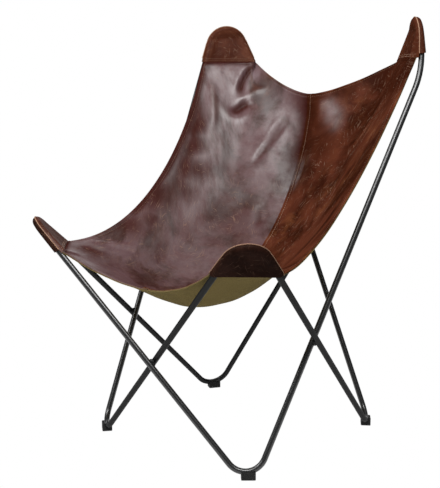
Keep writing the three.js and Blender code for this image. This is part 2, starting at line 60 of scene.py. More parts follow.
PAINT_PATCHES = 26.0
PAINT_SHINE = ((0.3, 0.8), (0.7, 1.0))
PAINT_ROUGHNESS = 0.30
PAINT_IOR = 1.8
DULL_GLOSS = 0.22
DULL_RUNS = {
    "bar_loop_a": ("front_ear", "rear_foot", "shoulder_inside"),
    "bar_loop_b": ("front_foot", "front_ear", "rear_foot"),
}


def unit(vectors):
    return vectors / np.linalg.norm(vectors, axis=-1, keepdims=True)


def bar_rings(node):
    """Centre and axis of each ring of corner points along a packed bar, in order round the loop."""
    solid = bmesh.new()
    solid.from_mesh(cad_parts[node].data)
    bmesh.ops.remove_doubles(solid, verts=solid.verts, dist=SAME_POINT)
    ring_of, rings = {}, []
    for start in solid.verts:
        if start in ring_of:
            continue
        ring, waiting = [], [start]
        ring_of[start] = len(rings)
        while waiting:
            vert = waiting.pop()
            ring.append(vert.co[:])
            for edge in vert.link_edges:
                other = edge.other_vert(vert)
                if edge.calc_length() < RING_EDGE and other not in ring_of:
                    ring_of[other] = len(rings)
                    waiting.append(other)
        rings.append(np.array(ring))
    beside = [set() for _ in rings]
    for edge in solid.edges:
        one, two = (ring_of[vert] for vert in edge.verts)
        if one != two:
            beside[one].add(two)
            beside[two].add(one)
    solid.free()
    order = [0, min(beside[0])]
    while len(order) < len(rings):
        order.append((beside[order[-1]] - {order[-2]}).pop())
    centres = [rings[i].mean(0) for i in order]
    # The points of a ring spread least along its axis
    axes = [np.linalg.svd(rings[i] - rings[i].mean(0))[2][2] for i in order]
    return centres, axes


def bar_corners(node):
    """Where the straight runs of a bar would meet, each by name, with the radius of the bend there."""
    centres, axes = bar_rings(node)
    runs = []
    for i, start in enumerate(centres):
        j = (i + 1) % len(centres)
        line = unit(centres[j] - start)
        if min(abs(line @ axes[i]), abs(line @ axes[j])) > STRAIGHT_WITHIN:
            runs.append((start, centres[j], line))
    corners = []
    for (_, end, before), (start, _, after) in zip(runs, runs[1:] + runs[:1]):
        turn = math.acos(before @ after)
        reach = np.linalg.norm(start - end) / (2 * math.cos(turn / 2))
        corners.append((end + before * reach, reach / math.tan(turn / 2)))
    # They are named from the highest, the back ear, round by the front foot, which lies towards -Y
    top = max(range(len(corners)), key=lambda i: corners[i][0][2])
    corners = corners[top:] + corners[:top]
    if corners[2][0][1] > 0:
        corners = corners[:1] + corners[:0:-1]
    return dict(zip(LOOP_CORNERS, corners))


def bend_path(corners):
    """Points along a bar through its corners, each rounded by its bend."""
    points = []
    for i, (corner, radius) in enumerate(corners):
        before = unit(corner - corners[i - 1][0])
        after = unit(corners[(i + 1) % len(corners)][0] - corner)
        turn = math.acos(before @ after)
        side = unit(after - before * (before @ after))
        start = corner - before * radius * math.tan(turn / 2)
        for angle in np.linspace(0, turn, max(LEAST_BEND_POINTS, math.ceil(turn / FINE_BEND_STEP))):
            along, across = radius * math.sin(angle), radius * (1 - math.cos(angle))
            points.append(start + before * along + side * across)
    return points


def select_only(piece):
    bpy.ops.object.select_all(action="DESELECT")
    piece.select_set(True)
    bpy.context.view_layer.objects.active = piece


def new_piece(name, data):
    piece = bpy.data.objects.new(name, data)
    bpy.context.collection.objects.link(piece)
    return piece


def round_rod(name, path, radius, closed):
    """A round rod along a path, as a mesh."""
    line = bpy.data.curves.new(name, "CURVE")
    line.dimensions = "3D"
    line.bevel_depth = radius
    line.bevel_resolution = BAR_ROUNDNESS
    line.use_fill_caps = not closed
    run = line.splines.new("POLY")
    run.points.add(len(path) - 1)
    for point, place in zip(run.points, path):
        point.co = (*place, 1)
    run.use_cyclic_u = closed
    rod = new_piece(name, line)
    select_only(rod)
    bpy.ops.object.convert(target="MESH")
    bpy.ops.object.shade_smooth()
    return rod


def mark_points(mesh, **marks):
    """Named values at the points of a mesh, for its material to read."""
    for name, values in marks.items():
        made = mesh.attributes.new(name, "FLOAT", "POINT")
        made.data.foreach_set("value", np.asarray(values, np.float32).ravel())


def lengths_along(points, axis=0):
    """Distance run along each line of points, from its first point."""
    steps = np.linalg.norm(np.diff(points, axis=axis), axis=-1)
    start = np.zeros_like(np.take(steps, [0], axis))
    return np.concatenate([start, np.cumsum(steps, axis)], axis)


def distance_to_line(points, line):
    """Distance of each point from a line, and the share of the line's length where it is nearest."""
    run = lengths_along(line)
    nearest = np.full(points.shape[:-1], np.inf)
    share = np.zeros(points.shape[:-1])
    for start, end, before in zip(line[:-1], line[1:], run[:-1]):
        axis = end - start
        step = np.clip((points - start) @ axis / (axis @ axis), 0, 1)
        gap = np.linalg.norm(points - start - step[..., None] * axis, axis=-1)
        share = np.where(gap < nearest, (before + step * np.linalg.norm(axis)) / run[-1], share)
        nearest = np.minimum(nearest, gap)
    return nearest, share


def leg_gloss(bar, loop, dull_run):
    """Gloss of the paint at each point of a bar, which is dull along one run of its legs."""
    places = np.array([vert.co[:] for vert in bar.data.vertices])
    gap, _ = distance_to_line(places, np.array([loop[corner][0] for corner in dull_run]))
    return np.where(gap < 2 * BAR_RADIUS, DULL_GLOSS, 1)


def add_node(tree, kind, links=(), **settings):
    """A node with its settings, and its inputs set or linked by name or number."""
    node = tree.nodes.new(kind)
    for name, value in settings.items():
        setattr(node, name, value)
    for socket, value in dict(links).items():
        if isinstance(value, bpy.types.NodeSocket):
            tree.links.new(value, node.inputs[socket])
        else:
            node.inputs[socket].default_value = value
    return node


def attribute(tree, name):
    return add_node(tree, "ShaderNodeAttribute", attribute_name=name).outputs["Fac"]


def ramp(tree, value, *stops):
    """A colour ramp over a value, by the positions and colours or greys of its two stops."""
    node = add_node(tree, "ShaderNodeValToRGB", {"Fac": value})
    for element, (position, colour) in zip(node.color_ramp.elements, stops):
        element.position = position
        element.color = colour if hasattr(colour, "__len__") else (colour, colour, colour, 1)
    return node.outputs["Color"]


def mix_colour(tree, factor, one, two):
    """Two colours mixed. The node's sockets go by number, because several share each name."""
    return add_node(tree, "ShaderNodeMix", {0: factor, 6: one, 7: two}, data_type="RGBA").outputs[2]


def maths(tree, operation, *values, clamp=False):
    settings = {"operation": operation, "use_clamp": clamp}
    return add_node(tree, "ShaderNodeMath", enumerate(values), **settings).outputs["Value"]


def noise(tree, place, scale, detail=3.0, roughness=0.5, distortion=0.0, output="Fac"):
    sockets = {"Vector": place, "Scale": scale, "Detail": detail, "Roughness": roughness,
               "Distortion": distortion}
    return add_node(tree, "ShaderNodeTexNoise", sockets).outputs[output]


FLOAT, VECTOR = "NodeSocketFloat", "NodeSocketVector"


def new_group(name, **inputs):
    """A node group with its named inputs, and the sockets that they come in by."""
    group = bpy.data.node_groups.new(name, "ShaderNodeTree")
    for socket, kind in inputs.items():
        group.interface.new_socket(socket.replace("_", " "), in_out="INPUT", socket_type=kind)
    return group, group.nodes.new("NodeGroupInput").outputs


def put_out(group, **values):
    """The named outputs of a node group."""
    for socket in values:
        group.interface.new_socket(socket, in_out="OUTPUT", socket_type=FLOAT)
    feed(group, group.nodes.new("NodeGroupOutput").inputs, **values)


def use_group(tree, group, **inputs):
    sockets = {socket.replace("_", " "): value for socket, value in inputs.items()}
    return add_node(tree, "ShaderNodeGroup", sockets, node_tree=group).outputs


def feed(tree, sockets, **values):
    """Links values to sockets by name."""
    for socket, value in values.items():
        tree.links.new(value, sockets[socket.replace("_", " ")])


def new_material(name, **sockets):
    """A material with its shader's plain sockets set, and where its patterns are read."""
    material = bpy.data.materials.new(name)
    material.use_nodes = True
    tree = material.node_tree
    shader = tree.nodes["Principled BSDF"]
    for socket, value in sockets.items():
        shader.inputs[socket.replace("_", " ")].default_value = value
    coordinates = tree.nodes.new("ShaderNodeTexCoord").outputs
    return material, tree, shader.inputs, coordinates


def bump(tree, height, strength, distance, **over):
    """Normals that follow a height, over the Normal of a broader form where there is one."""
    sockets = {"Height": height, "Strength": strength, "Distance": distance, **over}
    return add_node(tree, "ShaderNodeBump", sockets).outputs["Normal"]


# Uneven cover of a coat or a moulding: broad cloudy patches, small rub marks and a fine speckle
uneven_cover, given = new_group("uneven_cover", Place=VECTOR, Patch_Scale=FLOAT, Speckle_Scale=FLOAT)
rub_scale = maths(uneven_cover, "MULTIPLY", given["Patch Scale"], RUB_FINENESS)
rub_noise = noise(uneven_cover, given["Place"], rub_scale, **COVER_RUBS)
put_out(
    uneven_cover,
    Patches=noise(uneven_cover, given["Place"], given["Patch Scale"], **COVER_PATCHES),
    Rubs=ramp(uneven_cover, rub_noise, *RUBBED_THROUGH),
    Speckle=noise(uneven_cover, given["Place"], given["Speckle Scale"], detail=2),
)


def painted_steel(name):
    """Satin paint, a little uneven, that shines by the gloss at each point."""
    material, tree, shader, where = new_material(
        name, Specular_IOR_Level=0.0, Coat_Roughness=PAINT_ROUGHNESS, Coat_IOR=PAINT_IOR)
    cover = use_group(tree, uneven_cover, Place=where["Object"], Patch_Scale=PAINT_PATCHES)
    shine = ramp(tree, cover["Patches"], *PAINT_SHINE)
    feed(tree, shader, Base_Color=mix_colour(tree, cover["Rubs"], PAINT, RUBBED_PAINT),
         Coat_Weight=maths(tree, "MULTIPLY", shine, attribute(tree, "gloss")))
    return material


def add_to_chair(piece, slot, *nodes):
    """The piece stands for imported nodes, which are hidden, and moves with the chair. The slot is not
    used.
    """
    if nodes:
        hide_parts(*nodes)
    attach(piece, "root")


loops = {}
bar_paint = painted_steel("bar_paint")
for node in ("bar_loop_a", "bar_loop_b"):
    loops[node] = bar_corners(node)
    path = bend_path(list(loops[node].values()))
    bar = round_rod(node.replace("bar_loop", "bent_bar"), path, BAR_RADIUS, closed=True)
    bar.data.materials.append(bar_paint)
    mark_points(bar.data, gloss=leg_gloss(bar, loops[node], DULL_RUNS[node]))
    add_to_chair(bar, "frame", node)


# Weld beads
# One bead of weld metal at each of the four crossings of the loops, laid in between the two bars and
# painted over with them. Its rippled face shows how the weld was drawn round.
WELD_REACH = 0.0084
WELD_HEIGHT = 0.0056
WELD_RIPPLES = 16
WELD_RIPPLE = 0.03
WELD_TWIST = 6
WELD_SEGMENTS = 64
WELD_RINGS = 24
CROSSINGS = {
    "weld_front": (
        ("bar_loop_a", "front_ear", "front_foot"), ("bar_loop_b", "front_ear", "front_foot")),
    "weld_rear": (
        ("bar_loop_a", "shoulder_inside", "rear_foot"), ("bar_loop_b", "shoulder_inside", "rear_foot")),
    "weld_left": (
        ("bar_loop_a", "shoulder_outside", "front_foot"), ("bar_loop_b", "front_ear", "rear_foot")),
    "weld_right": (
        ("bar_loop_b", "shoulder_outside", "front_foot"), ("bar_loop_a", "front_ear", "rear_foot")),
}


def straight_run(loop, start, end):
    return loops[loop][start][0], unit(loops[loop][end][0] - loops[loop][start][0])


def unit_ball(name, segments, rings, **settings):
    bpy.ops.object.select_all(action="DESELECT")
    bpy.ops.mesh.primitive_uv_sphere_add(segments=segments, ring_count=rings, radius=1, **settings)
    ball = bpy.context.object
    ball.name = name
    return ball


def weld_bead(name, one, two):
    """A rippled bead at the nearest points of two straight runs of bar."""
    (a, first), (b, second) = straight_run(*one), straight_run(*two)
    normal = np.cross(first, second)
    on_first = a + first * (np.cross(b - a, second) @ normal) / (normal @ normal)
    on_second = b + second * (np.cross(b - a, first) @ normal) / (normal @ normal)
    out = unit(on_second - on_first)
    lengthways = unit(first + second)
    bead = unit_ball(name, WELD_SEGMENTS, WELD_RINGS)
    for vert in bead.data.vertices:
        x, y, z = vert.co
        turn = WELD_RIPPLES * math.atan2(y, x) + WELD_TWIST * z
        reach = WELD_REACH * (1 + WELD_RIPPLE * math.sin(turn) * (1 - z ** 2))
        vert.co = (x * reach, y * reach, z * WELD_HEIGHT)
    axes = Matrix(np.column_stack([lengthways, np.cross(out, lengthways), out]).tolist()).to_4x4()
    bead.data.transform(Matrix.Translation((on_first + on_second) / 2) @ axes)
    bpy.ops.object.shade_smooth()
    return bead


weld_paint = painted_steel("weld_paint")
for node, (one, two) in CROSSINGS.items():
    bead = weld_bead(node.replace("weld", "weld_bead"), one, two)
    bead.data.materials.append(weld_paint)
    mark_points(bead.data, gloss=np.full(len(bead.data.vertices), DULL_GLOSS))
    add_to_chair(bead, "weld", node)


# Rubber feet
# Four moulded black rubber blocks with a saddle groove, pressed on to the lowest bend of each leg and
# glued. Their edges are rounded by the mould and their faces are matt.
FOOT_EDGE = 0.0009
FOOT_EDGE_STEPS = 3
FLAT_WITHIN = math.radians(2)
SHARP_EDGE = math.radians(40)
SMOOTH_EDGE = math.radians(50)
RUBBER = (0.011, 0.011, 0.011, 1)
DUSTY_RUBBER = (0.035, 0.033, 0.030, 1)
RUBBER_PATCHES = 60.0
RUBBER_SPECKLE = 1400.0
RUBBER_ROUGHNESS = ((0.3, 0.62), (0.7, 0.8))
RUBBER_GRAIN = {"strength": 0.4, "distance": 0.0003}


def apply_modifier(piece, kind, **settings):
    modifier = piece.modifiers.new(kind.lower(), kind)
    for name, value in settings.items():
        setattr(modifier, name, value)
    select_only(piece)
    bpy.ops.object.modifier_apply(modifier=modifier.name)


def mend_mesh(piece, step, **settings):
    """Joins the points of a piece that lie together, then takes one more step on its mesh."""
    select_only(piece)
    bpy.ops.object.mode_set(mode="EDIT")
    bpy.ops.mesh.select_all(action="SELECT")
    bpy.ops.mesh.remove_doubles(threshold=SAME_POINT)
    step(**settings)
    bpy.ops.object.mode_set(mode="OBJECT")


rubber, tree, shader, where = new_material("foot_rubber", Specular_IOR_Level=0.35)
cover = use_group(tree, uneven_cover, Place=where["Object"], Patch_Scale=RUBBER_PATCHES,
                  Speckle_Scale=RUBBER_SPECKLE)
feed(tree, shader, Base_Color=mix_colour(tree, cover["Rubs"], RUBBER, DUSTY_RUBBER),
     Roughness=ramp(tree, cover["Patches"], *RUBBER_ROUGHNESS),
     Normal=bump(tree, cover["Speckle"], **RUBBER_GRAIN))

for node in ("foot_front_left", "foot_front_right", "foot_rear_left", "foot_rear_right"):
    block = new_piece(node.replace("foot", "rubber_foot"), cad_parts[node].data.copy())
    block.data.materials.clear()
    block.data.materials.append(rubber)
    mend_mesh(block, bpy.ops.mesh.dissolve_limited, angle_limit=FLAT_WITHIN)
    apply_modifier(block, "BEVEL", width=FOOT_EDGE, segments=FOOT_EDGE_STEPS, limit_method="ANGLE",
                   angle_limit=SHARP_EDGE)
    bpy.ops.object.shade_smooth_by_angle(angle=SMOOTH_EDGE)
    add_to_chair(block, "foot", node)


# Leather halves
# Two halves of waxed full-grain brown hide, 2 mm thick, cut to the shape of the sling. The left half
# laps over the right one down the middle and is sewn to it, and the edges are stitched to the lining.
LEATHER = 0.002
CLEARANCE = 0.0003
POCKET_FIT = 0.0004
POCKET_SAG = 0.0025
POCKET_RIM_ANGLE = math.radians(31)
POCKET_RIM_SHARE = 0.14
POCKET_SHARE = 7 / 13
FRONT_POCKET = {"pocket_length": 0.077, "pocket_lift": 0.010, "mouth_slant": -0.0028}
BACK_POCKET = {"pocket_length": 0.075, "pocket_lift": 0.026, "mouth_slant": 0.0043}
POCKET_LIFT_START = 0.020
POCKET_MOUTH_EASE = 0.0020

# Heights above the floor, and distances behind the line through the crowns of the front ears
FRONT_EDGE = {"behind": 0.0285, "height": 0.350}
SEAT_LOW = {"behind": 0.1985, "height": 0.291}
LUMBAR = {"behind": 0.543, "height": 0.467}
TOP_EDGE = {"behind": 0.578, "height": 0.715}
HIP = {"behind": 0.3515, "height": 0.399}
HIP_HALF_WIDTH = 0.2225
SEAT_FLAT_FRONT = 0.080
SEAT_FLAT_BACK = 0.143
FRONT_LIP_SLOPE = math.radians(20)
FRONT_LIP_LENGTH = 0.070
FRONT_EDGE_HANG = 2
TOP_EDGE_HANG = 1.52
SEAT_ROUNDING = 1.58
HEM_FLARE = 0.56
HEM_FLARE_POWER = 4
EDGE_BLEND = 0.4
LINE_STEPS = 300
SIDES = {1: "left", -1: "right"}


class Ear:
    """An ear seen from the sling: across to the side edge, down to the seat and in to the sitter."""

    def __init__(self, corners, name, outer_leg, inner_leg, pocket_length, pocket_lift, mouth_slant):
        corner, self.bend = corners[name]
        outer, inner = (unit(corners[leg][0] - corner) for leg in (outer_leg, inner_leg))
        self.taper = math.acos(outer @ inner) / 2
        self.down = unit(outer + inner)
        self.across = unit(outer - inner)
        normal = unit(np.cross(self.across, self.down))
        self.inward = normal if normal[:2] @ corner[:2] < 0 else -normal
        self.crown = corner + self.down * self.bend * (1 / math.sin(self.taper) - 1)
        self.pocket_length = pocket_length
        self.pocket_lift = pocket_lift
        self.mouth_slant = mouth_slant

    def point(self, across, down, inward):
        steps = np.stack(np.broadcast_arrays(across, down, inward), -1)
        return self.crown + steps @ np.array([self.across, self.down, self.inward])

    def half_width(self, level):
        """Half of the distance between the centre lines of the legs, at a level below the crown."""
        return (level + self.bend * (1 / math.sin(self.taper) - 1)) * math.tan(self.taper)

    def mouth(self, share):
        """Level of the pocket's mouth, at shares from its middle to the side edge."""
        return self.pocket_length - self.mouth_slant * share

    def stand_off(self, level):
        """How far the sitter's side of the pocket stands off the plane of the ear."""
        share = np.maximum(0, (level - POCKET_LIFT_START) / (self.pocket_length - POCKET_LIFT_START))
        return (1 - share) * (BAR_RADIUS + POCKET_FIT) + share * self.pocket_lift


ears = {}
for hand, back_loop, front_loop in (
    ("left", "bar_loop_a", "bar_loop_b"), ("right", "bar_loop_b", "bar_loop_a"),
):
    back, front = loops[back_loop], loops[front_loop]
    ears["back_" + hand] = Ear(back, "back_ear", "shoulder_outside", "shoulder_inside", **BACK_POCKET)
    ears["front_" + hand] = Ear(front, "front_ear", "rear_foot", "front_foot", **FRONT_POCKET)
ear_line = (ears["front_left"].crown[1] + ears["front_right"].crown[1]) / 2


def pocket_seam(ear, share):
    """The seam across the mouth of a pocket, from its end near the middle to the side edge."""
    hand = np.where(share < 0.5, -1, 1)
    from_end = np.minimum(share, 1 - share) / POCKET_RIM_SHARE
    place = (share - POCKET_RIM_SHARE) / (1 - 2 * POCKET_RIM_SHARE) * 2 - 1
    level = ear.mouth(np.where(from_end < 1, hand, place))
    angle = POCKET_RIM_ANGLE + (math.pi / 2 - POCKET_RIM_ANGLE) * np.clip(from_end, 0, 1)
    rim = ear.half_width(level) + (BAR_RADIUS + POCKET_FIT) * np.cos(angle) / math.cos(ear.taper)
    rim = rim + POCKET_MOUTH_EASE
    across = np.where(from_end < 1, hand * rim, place * ear.half_width(level))
    rim_rise = ear.stand_off(level) * np.sin(angle)
    face_rise = ear.stand_off(level) - POCKET_SAG * (1 - place ** 2)
    return ear.point(across, level + CLEARANCE, np.where(from_end < 1, rim_rise, face_rise))


def blend(start, end, share):
    return start + (end - start) * share


def hanging_line(start, end, share, hang):
    """A line that hangs as half a garland, level where it starts."""
    rise = np.abs(share) ** hang
    return blend(start, end, np.stack([share, rise, rise], -1))


def cross_edge(middle, ear, share, hang):
    """A free edge that hangs from the middle of the chair to a pocket, then the pocket's seam."""
    at_pocket = pocket_seam(ear, np.clip((share - POCKET_SHARE) / (1 - POCKET_SHARE), 0, 1))
    free = hanging_line(middle, pocket_seam(ear, np.array(0.0)), share / POCKET_SHARE, hang)
    return np.where((share > POCKET_SHARE)[..., None], at_pocket, free)


def bezier(a, b, c, d):
    t = np.linspace(0, 1, LINE_STEPS)[:, None]
    return (1 - t) ** 3 * a + 3 * (1 - t) ** 2 * t * b + 3 * (1 - t) * t ** 2 * c + t ** 3 * d


def points_at(reach, run, line):
    """The points of a line, or the values along it, at distances from its start."""
    return np.stack([np.interp(reach, run, line[:, i]) for i in range(3)], -1)


def along_line(points, share):
    """The points at shares of the length of a line."""
    run = lengths_along(points)
    return points_at(share * run[-1], run, points)


def middle_point(behind, height):
    return np.array([0, ear_line + behind, height])


def centre_line():
    """The line down the middle of the sling, from its front edge by the seat to its top edge."""
    front, seat, top = (middle_point(**place) for place in (FRONT_EDGE, SEAT_LOW, TOP_EDGE))
    lip = np.array([0, math.cos(FRONT_LIP_SLOPE), -math.sin(FRONT_LIP_SLOPE)]) * FRONT_LIP_LENGTH
    backward = np.array([0, 1, 0])
    fore = bezier(front, front + lip, seat - backward * SEAT_FLAT_FRONT, seat)
    aft = bezier(seat, seat + backward * SEAT_FLAT_BACK, middle_point(**LUMBAR), top)
    return np.concatenate([fore, aft[1:]])


def edge_weight(share):
    """How much an edge's own shape still counts, from all at the edge to none further in."""
    return np.maximum(0, (share - 1 + EDGE_BLEND) / EDGE_BLEND) ** 2


def sling_half(hand, out, rear):
    """Points under one leather half: out from the middle to the side, rear from front to top."""
    front, back = ears["front_" + SIDES[hand]], ears["back_" + SIDES[hand]]
    centre = centre_line()
    front_end, back_end = pocket_seam(front, np.array(1.0)), pocket_seam(back, np.array(1.0))
    hip = middle_point(**HIP) + np.array([hand * HIP_HALF_WIDTH, 0, 0])
    edge = bezier(front_end, hip, back_end, back_end)
    out, rear = np.broadcast_arrays(out, rear)
    column = rear[..., None]
    front_line = hanging_line(centre[0], front_end, out, FRONT_EDGE_HANG)
    back_line = hanging_line(centre[-1], back_end, out, TOP_EDGE_HANG)
    front_edge = cross_edge(centre[0], front, out, FRONT_EDGE_HANG)
    back_edge = cross_edge(centre[-1], back, out, TOP_EDGE_HANG)
    points = blend(front_line, back_line, column)
    points = points + (front_edge - front_line) * edge_weight(1 - rear)[..., None]
    points = points + (back_edge - back_line) * edge_weight(rear)[..., None]
    centre_shift = along_line(centre, rear) - blend(centre[0], centre[-1], column)
    side_shift = along_line(edge, rear) - blend(front_end, back_end, column)
    flare = HEM_FLARE * np.abs(out) ** HEM_FLARE_POWER * (1 - np.abs(out))
    rounded = (np.abs(out) ** SEAT_ROUNDING + flare)[..., None]
    return points + centre_shift * (1 - rounded) + side_shift * rounded


# Main folds and creases, each through places given as shares out from the middle and back from the
# front edge, with how high or deep it stands, how wide it is, and how high the lips beside it are
CREASES = {"right": [
    ([(0.72, 0.97), (0.42, 0.62)], -0.0025, 0.022, 0.0),
    ([(0.52, 0.98), (0.20, 0.55)], 0.0020, 0.022, 0.0),
    ([(0.86, 0.96), (0.72, 0.50)], 0.0020, 0.022, 0.0),
    ([(0.78, 0.05), (0.50, 0.32)], 0.0020, 0.022, 0.0),
    ([(0.580, 0.998), (0.644, 0.953), (0.648, 0.895)], -0.0055, 0.0075, 0.0014),
    ([(0.345, 0.968), (0.475, 0.936), (0.575, 0.905), (0.680, 0.878)], 0.0020, 0.0085, 0.0),
    ([(0.680, 0.838), (0.606, 0.869), (0.510, 0.900)], -0.0050, 0.0110, 0.0),
    ([(0.775, 0.875), (0.725, 0.841), (0.650, 0.829), (0.531, 0.854), (0.412, 0.906)],
     0.0012, 0.0100, 0.0),
    ([(0.912, 0.953), (0.844, 0.872), (0.762, 0.75)], 0.0025, 0.0100, 0.0),
    ([(0.200, 0.930), (0.294, 0.853), (0.362, 0.788), (0.430, 0.715)], 0.0018, 0.0085, 0.0),
    ([(0.150, 0.925), (0.244, 0.850), (0.319, 0.791), (0.385, 0.725)], -0.0030, 0.0110, 0.0),
    ([(0.96, 0.93), (0.92, 0.73), (0.86, 0.46)], -0.0035, 0.0130, 0.0),
    ([(0.21, 0.64), (0.16, 0.605), (0.12, 0.57)], -0.0020, 0.0100, 0.0004),
    ([(0.912, 0.081), (0.812, 0.166), (0.731, 0.247)], 0.0026, 0.0080, 0.0),
    ([(0.84, 0.04), (0.66, 0.11)], -0.0022, 0.0090, 0.0008),
], "left": [
    ([(0.80, 0.97), (0.55, 0.60)], 0.0020, 0.022, 0.0),
    ([(0.20, 0.95), (0.14, 0.55)], 0.0020, 0.022, 0.0),
    ([(0.78, 0.05), (0.50, 0.32)], 0.0020, 0.022, 0.0),
    ([(0.085, 0.985), (0.09, 0.93), (0.075, 0.86)], 0.0040, 0.0150, 0.0),
    ([(0.60, 0.985), (0.54, 0.93), (0.46, 0.86)], -0.0030, 0.0070, 0.0012),
    ([(0.045, 0.83), (0.055, 0.78), (0.045, 0.72)], -0.0022, 0.0070, 0.0006),
]}
CREASE_FADE = 0.30
LIP_BESIDE = 1.9
FULL_WEAR_AND_SHADE_HEIGHT = 0.004
BROAD_FOLD = 0.02
WAVES = 8
WAVE_PITCH = (0.05, 0.13)
WAVE_SWING = 0.6
WAVE_HEIGHT = 0.0004
WAVE_SEED = 7
SEAM_VALLEY = 0.008
SEAM_VALLEY_WIDTH = 0.026
BACK_FROM = 0.38
POCKET_EASE = 0.05
EASE_STEPS = np.linspace(-1.5, 1.5, 7)
POCKET_SIDE = 0.1
POCKET_FLAT = 0.02
POCKET_TURN = 0.012
EDGE_HOLD = 0.08
PUCKER_HEIGHT = 0.0003
PUCKER_REACH = 0.014
PUCKER_TURNS = 380
WANDER = 2
WANDER_TURNS = PUCKER_TURNS / 6
LEFT_LAP = 0.0045
RIGHT_TUCK = 0.0070
LAP_RISE = 0.0023
LAP_STITCH = 0.007
LAP_EDGE_FACING = 0.5
SIDE_HEM = 0.011
FREE_HEM = 0.0065
GROOVE_WIDTH = 0.0016
HEM_GROOVE = 0.0006
HEM_PILLOW = 0.0004
EDGE_ROLL = 0.0008
EDGE_WEAR = 0.003
LAP_COLUMNS = 5
HALF_COLUMNS = {"free": 50, "pocket": 46}
HALF_ROWS = 230
CLOSER_AT_EDGES = 1.6
END_CLUSTER = 0.6
CORNER_CUT = 0.25


def smooth_step(value):
    value = np.clip(value, 0, 1)
    return value * value * (3 - 2 * value)


def bell(distance, width):
    """1 at no distance, and falling away smoothly over a width."""
    return np.exp(-(distance / width) ** 2)


def rounded_line(places, rounds=3):
    """A line of places with its corners cut round."""
    line = np.array(places, float)
    for _ in range(rounds):
        near, far = (blend(line[:-1], line[1:], share) for share in (CORNER_CUT, 1 - CORNER_CUT))
        line = np.concatenate([line[:1], np.stack([near, far], 1).reshape(-1, line.shape[1]), line[-1:]])
    return line


def eased_half(hand, out, rear):
    """Points of a half where the turn below the end of each pocket is drawn out smooth."""
    out, rear = np.broadcast_arrays(out, rear)
    reach = POCKET_EASE * smooth_step(np.minimum(out, 1 - out) / (2 * POCKET_EASE))
    reach = reach * smooth_step(np.minimum(rear, 1 - rear) / EDGE_HOLD)
    return sum(sling_half(hand, out + step * reach, rear) for step in EASE_STEPS) / len(EASE_STEPS)


def crease_relief(hand, points):
    """Height of the folds and creases of a half, with wear on their ridges and painted shade in hollows.
    """
    relief = np.zeros(points.shape[:-1])
    worn = np.zeros(points.shape[:-1])
    for places, height, width, lip in CREASES[SIDES[hand]]:
        line = rounded_line(places)
        gap, share = distance_to_line(points, eased_half(hand, line[:, 0], line[:, 1]))
        fade = smooth_step(np.minimum(share, 1 - share) / CREASE_FADE)
        lips = lip * bell(gap - LIP_BESIDE * width, width)
        rise = fade * (height * bell(gap, width) + lips)
        relief += rise
        # Narrow creases count as rubbed on their ridges and get painted shade in their hollows
        if width < BROAD_FOLD:
            worn += np.clip(rise / FULL_WEAR_AND_SHADE_HEIGHT, -1, 1)
    return relief, worn


def soft_waves(across, along):
    """The slow rise and fall of hide that hangs, in waves that run mostly up and down."""
    chance = np.random.default_rng(WAVE_SEED)
    height = np.zeros(across.shape)
    for _ in range(WAVES):
        pitch = chance.uniform(*WAVE_PITCH)
        heading, phase = chance.uniform(-WAVE_SWING, WAVE_SWING), chance.uniform(0, 2 * math.pi)
        turn = (across * math.cos(heading) + along * math.sin(heading)) / pitch
        height += np.sin(2 * math.pi * turn + phase) / math.sqrt(WAVES)
    return WAVE_HEIGHT * height


def hem_relief(gap, stitch_at):
    """Height across a stitched edge: rolled at the cut, padded, and drawn in along the stitches."""
    roll = EDGE_ROLL * np.clip(1 - gap / EDGE_ROLL, 0, 1) ** 2
    pillow = HEM_PILLOW * np.sin(math.pi * np.clip(gap / stitch_at, 0, 1))
    groove = HEM_GROOVE * bell(gap - stitch_at, GROOVE_WIDTH)
    return pillow - roll - groove


def grid_normals(points, hand):
    along, across = np.gradient(points, axis=0), np.gradient(points, axis=1)
    return unit(np.cross(across, along) * hand)


def end_clustered(count):
    """Shares from 0 to 1 that lie closer together towards both ends."""
    even = np.linspace(0, 1, count)
    return blend(even, (1 - np.cos(math.pi * even)) / 2, END_CLUSTER)


def half_grid(past_middle):
    """Shares out and back for one half, from a little past the middle to its side edge."""
    to_pocket, at_pocket = (np.linspace(0, 1, HALF_COLUMNS[part]) for part in ("free", "pocket"))
    reach = abs(pocket_seam(ears["back_left"], np.array(1.0))[0])
    out = np.concatenate([
        np.linspace(-past_middle / reach, 0, LAP_COLUMNS, endpoint=False),
        POCKET_SHARE * to_pocket[:-1] ** CLOSER_AT_EDGES,
        1 - (1 - POCKET_SHARE) * (1 - at_pocket) ** CLOSER_AT_EDGES,
    ])
    return np.meshgrid(out, end_clustered(HALF_ROWS))


def half_forms(hand, out, rear):
    """Points, normals, relief, crease wear and painted shade, and distances across and along of one
    half.
    """
    points = eased_half(hand, out, rear)
    normals = grid_normals(points, hand)
    seam_side = np.argmin(np.abs(out[0]))
    across = lengths_along(points, 1)
    across = across - across[:, [seam_side]]
    along = lengths_along(points, 0)
    to_end = np.minimum(along, along[-1] - along)
    relief, worn = crease_relief(hand, points)
    relief = relief + soft_waves(across * hand, along)
    valley = np.exp(-np.abs(across) / SEAM_VALLEY_WIDTH) * smooth_step(to_end / (2 * SEAM_VALLEY_WIDTH))
    relief = relief - SEAM_VALLEY * valley * smooth_step((rear - BACK_FROM) / (1 - 2 * BACK_FROM))
    at_pocket = smooth_step((out - POCKET_SHARE) / POCKET_SIDE)
    relief = relief * blend(1, smooth_step(to_end / POCKET_FLAT), at_pocket)
    for name, end in (("front_", 0), ("back_", -1)):
        ear = ears[name + SIDES[hand]]
        near = bell(along - along[end], POCKET_TURN) * at_pocket
        normals = blend(normals, ear.inward, near[..., None])
    return points, normals, relief, worn, across, along


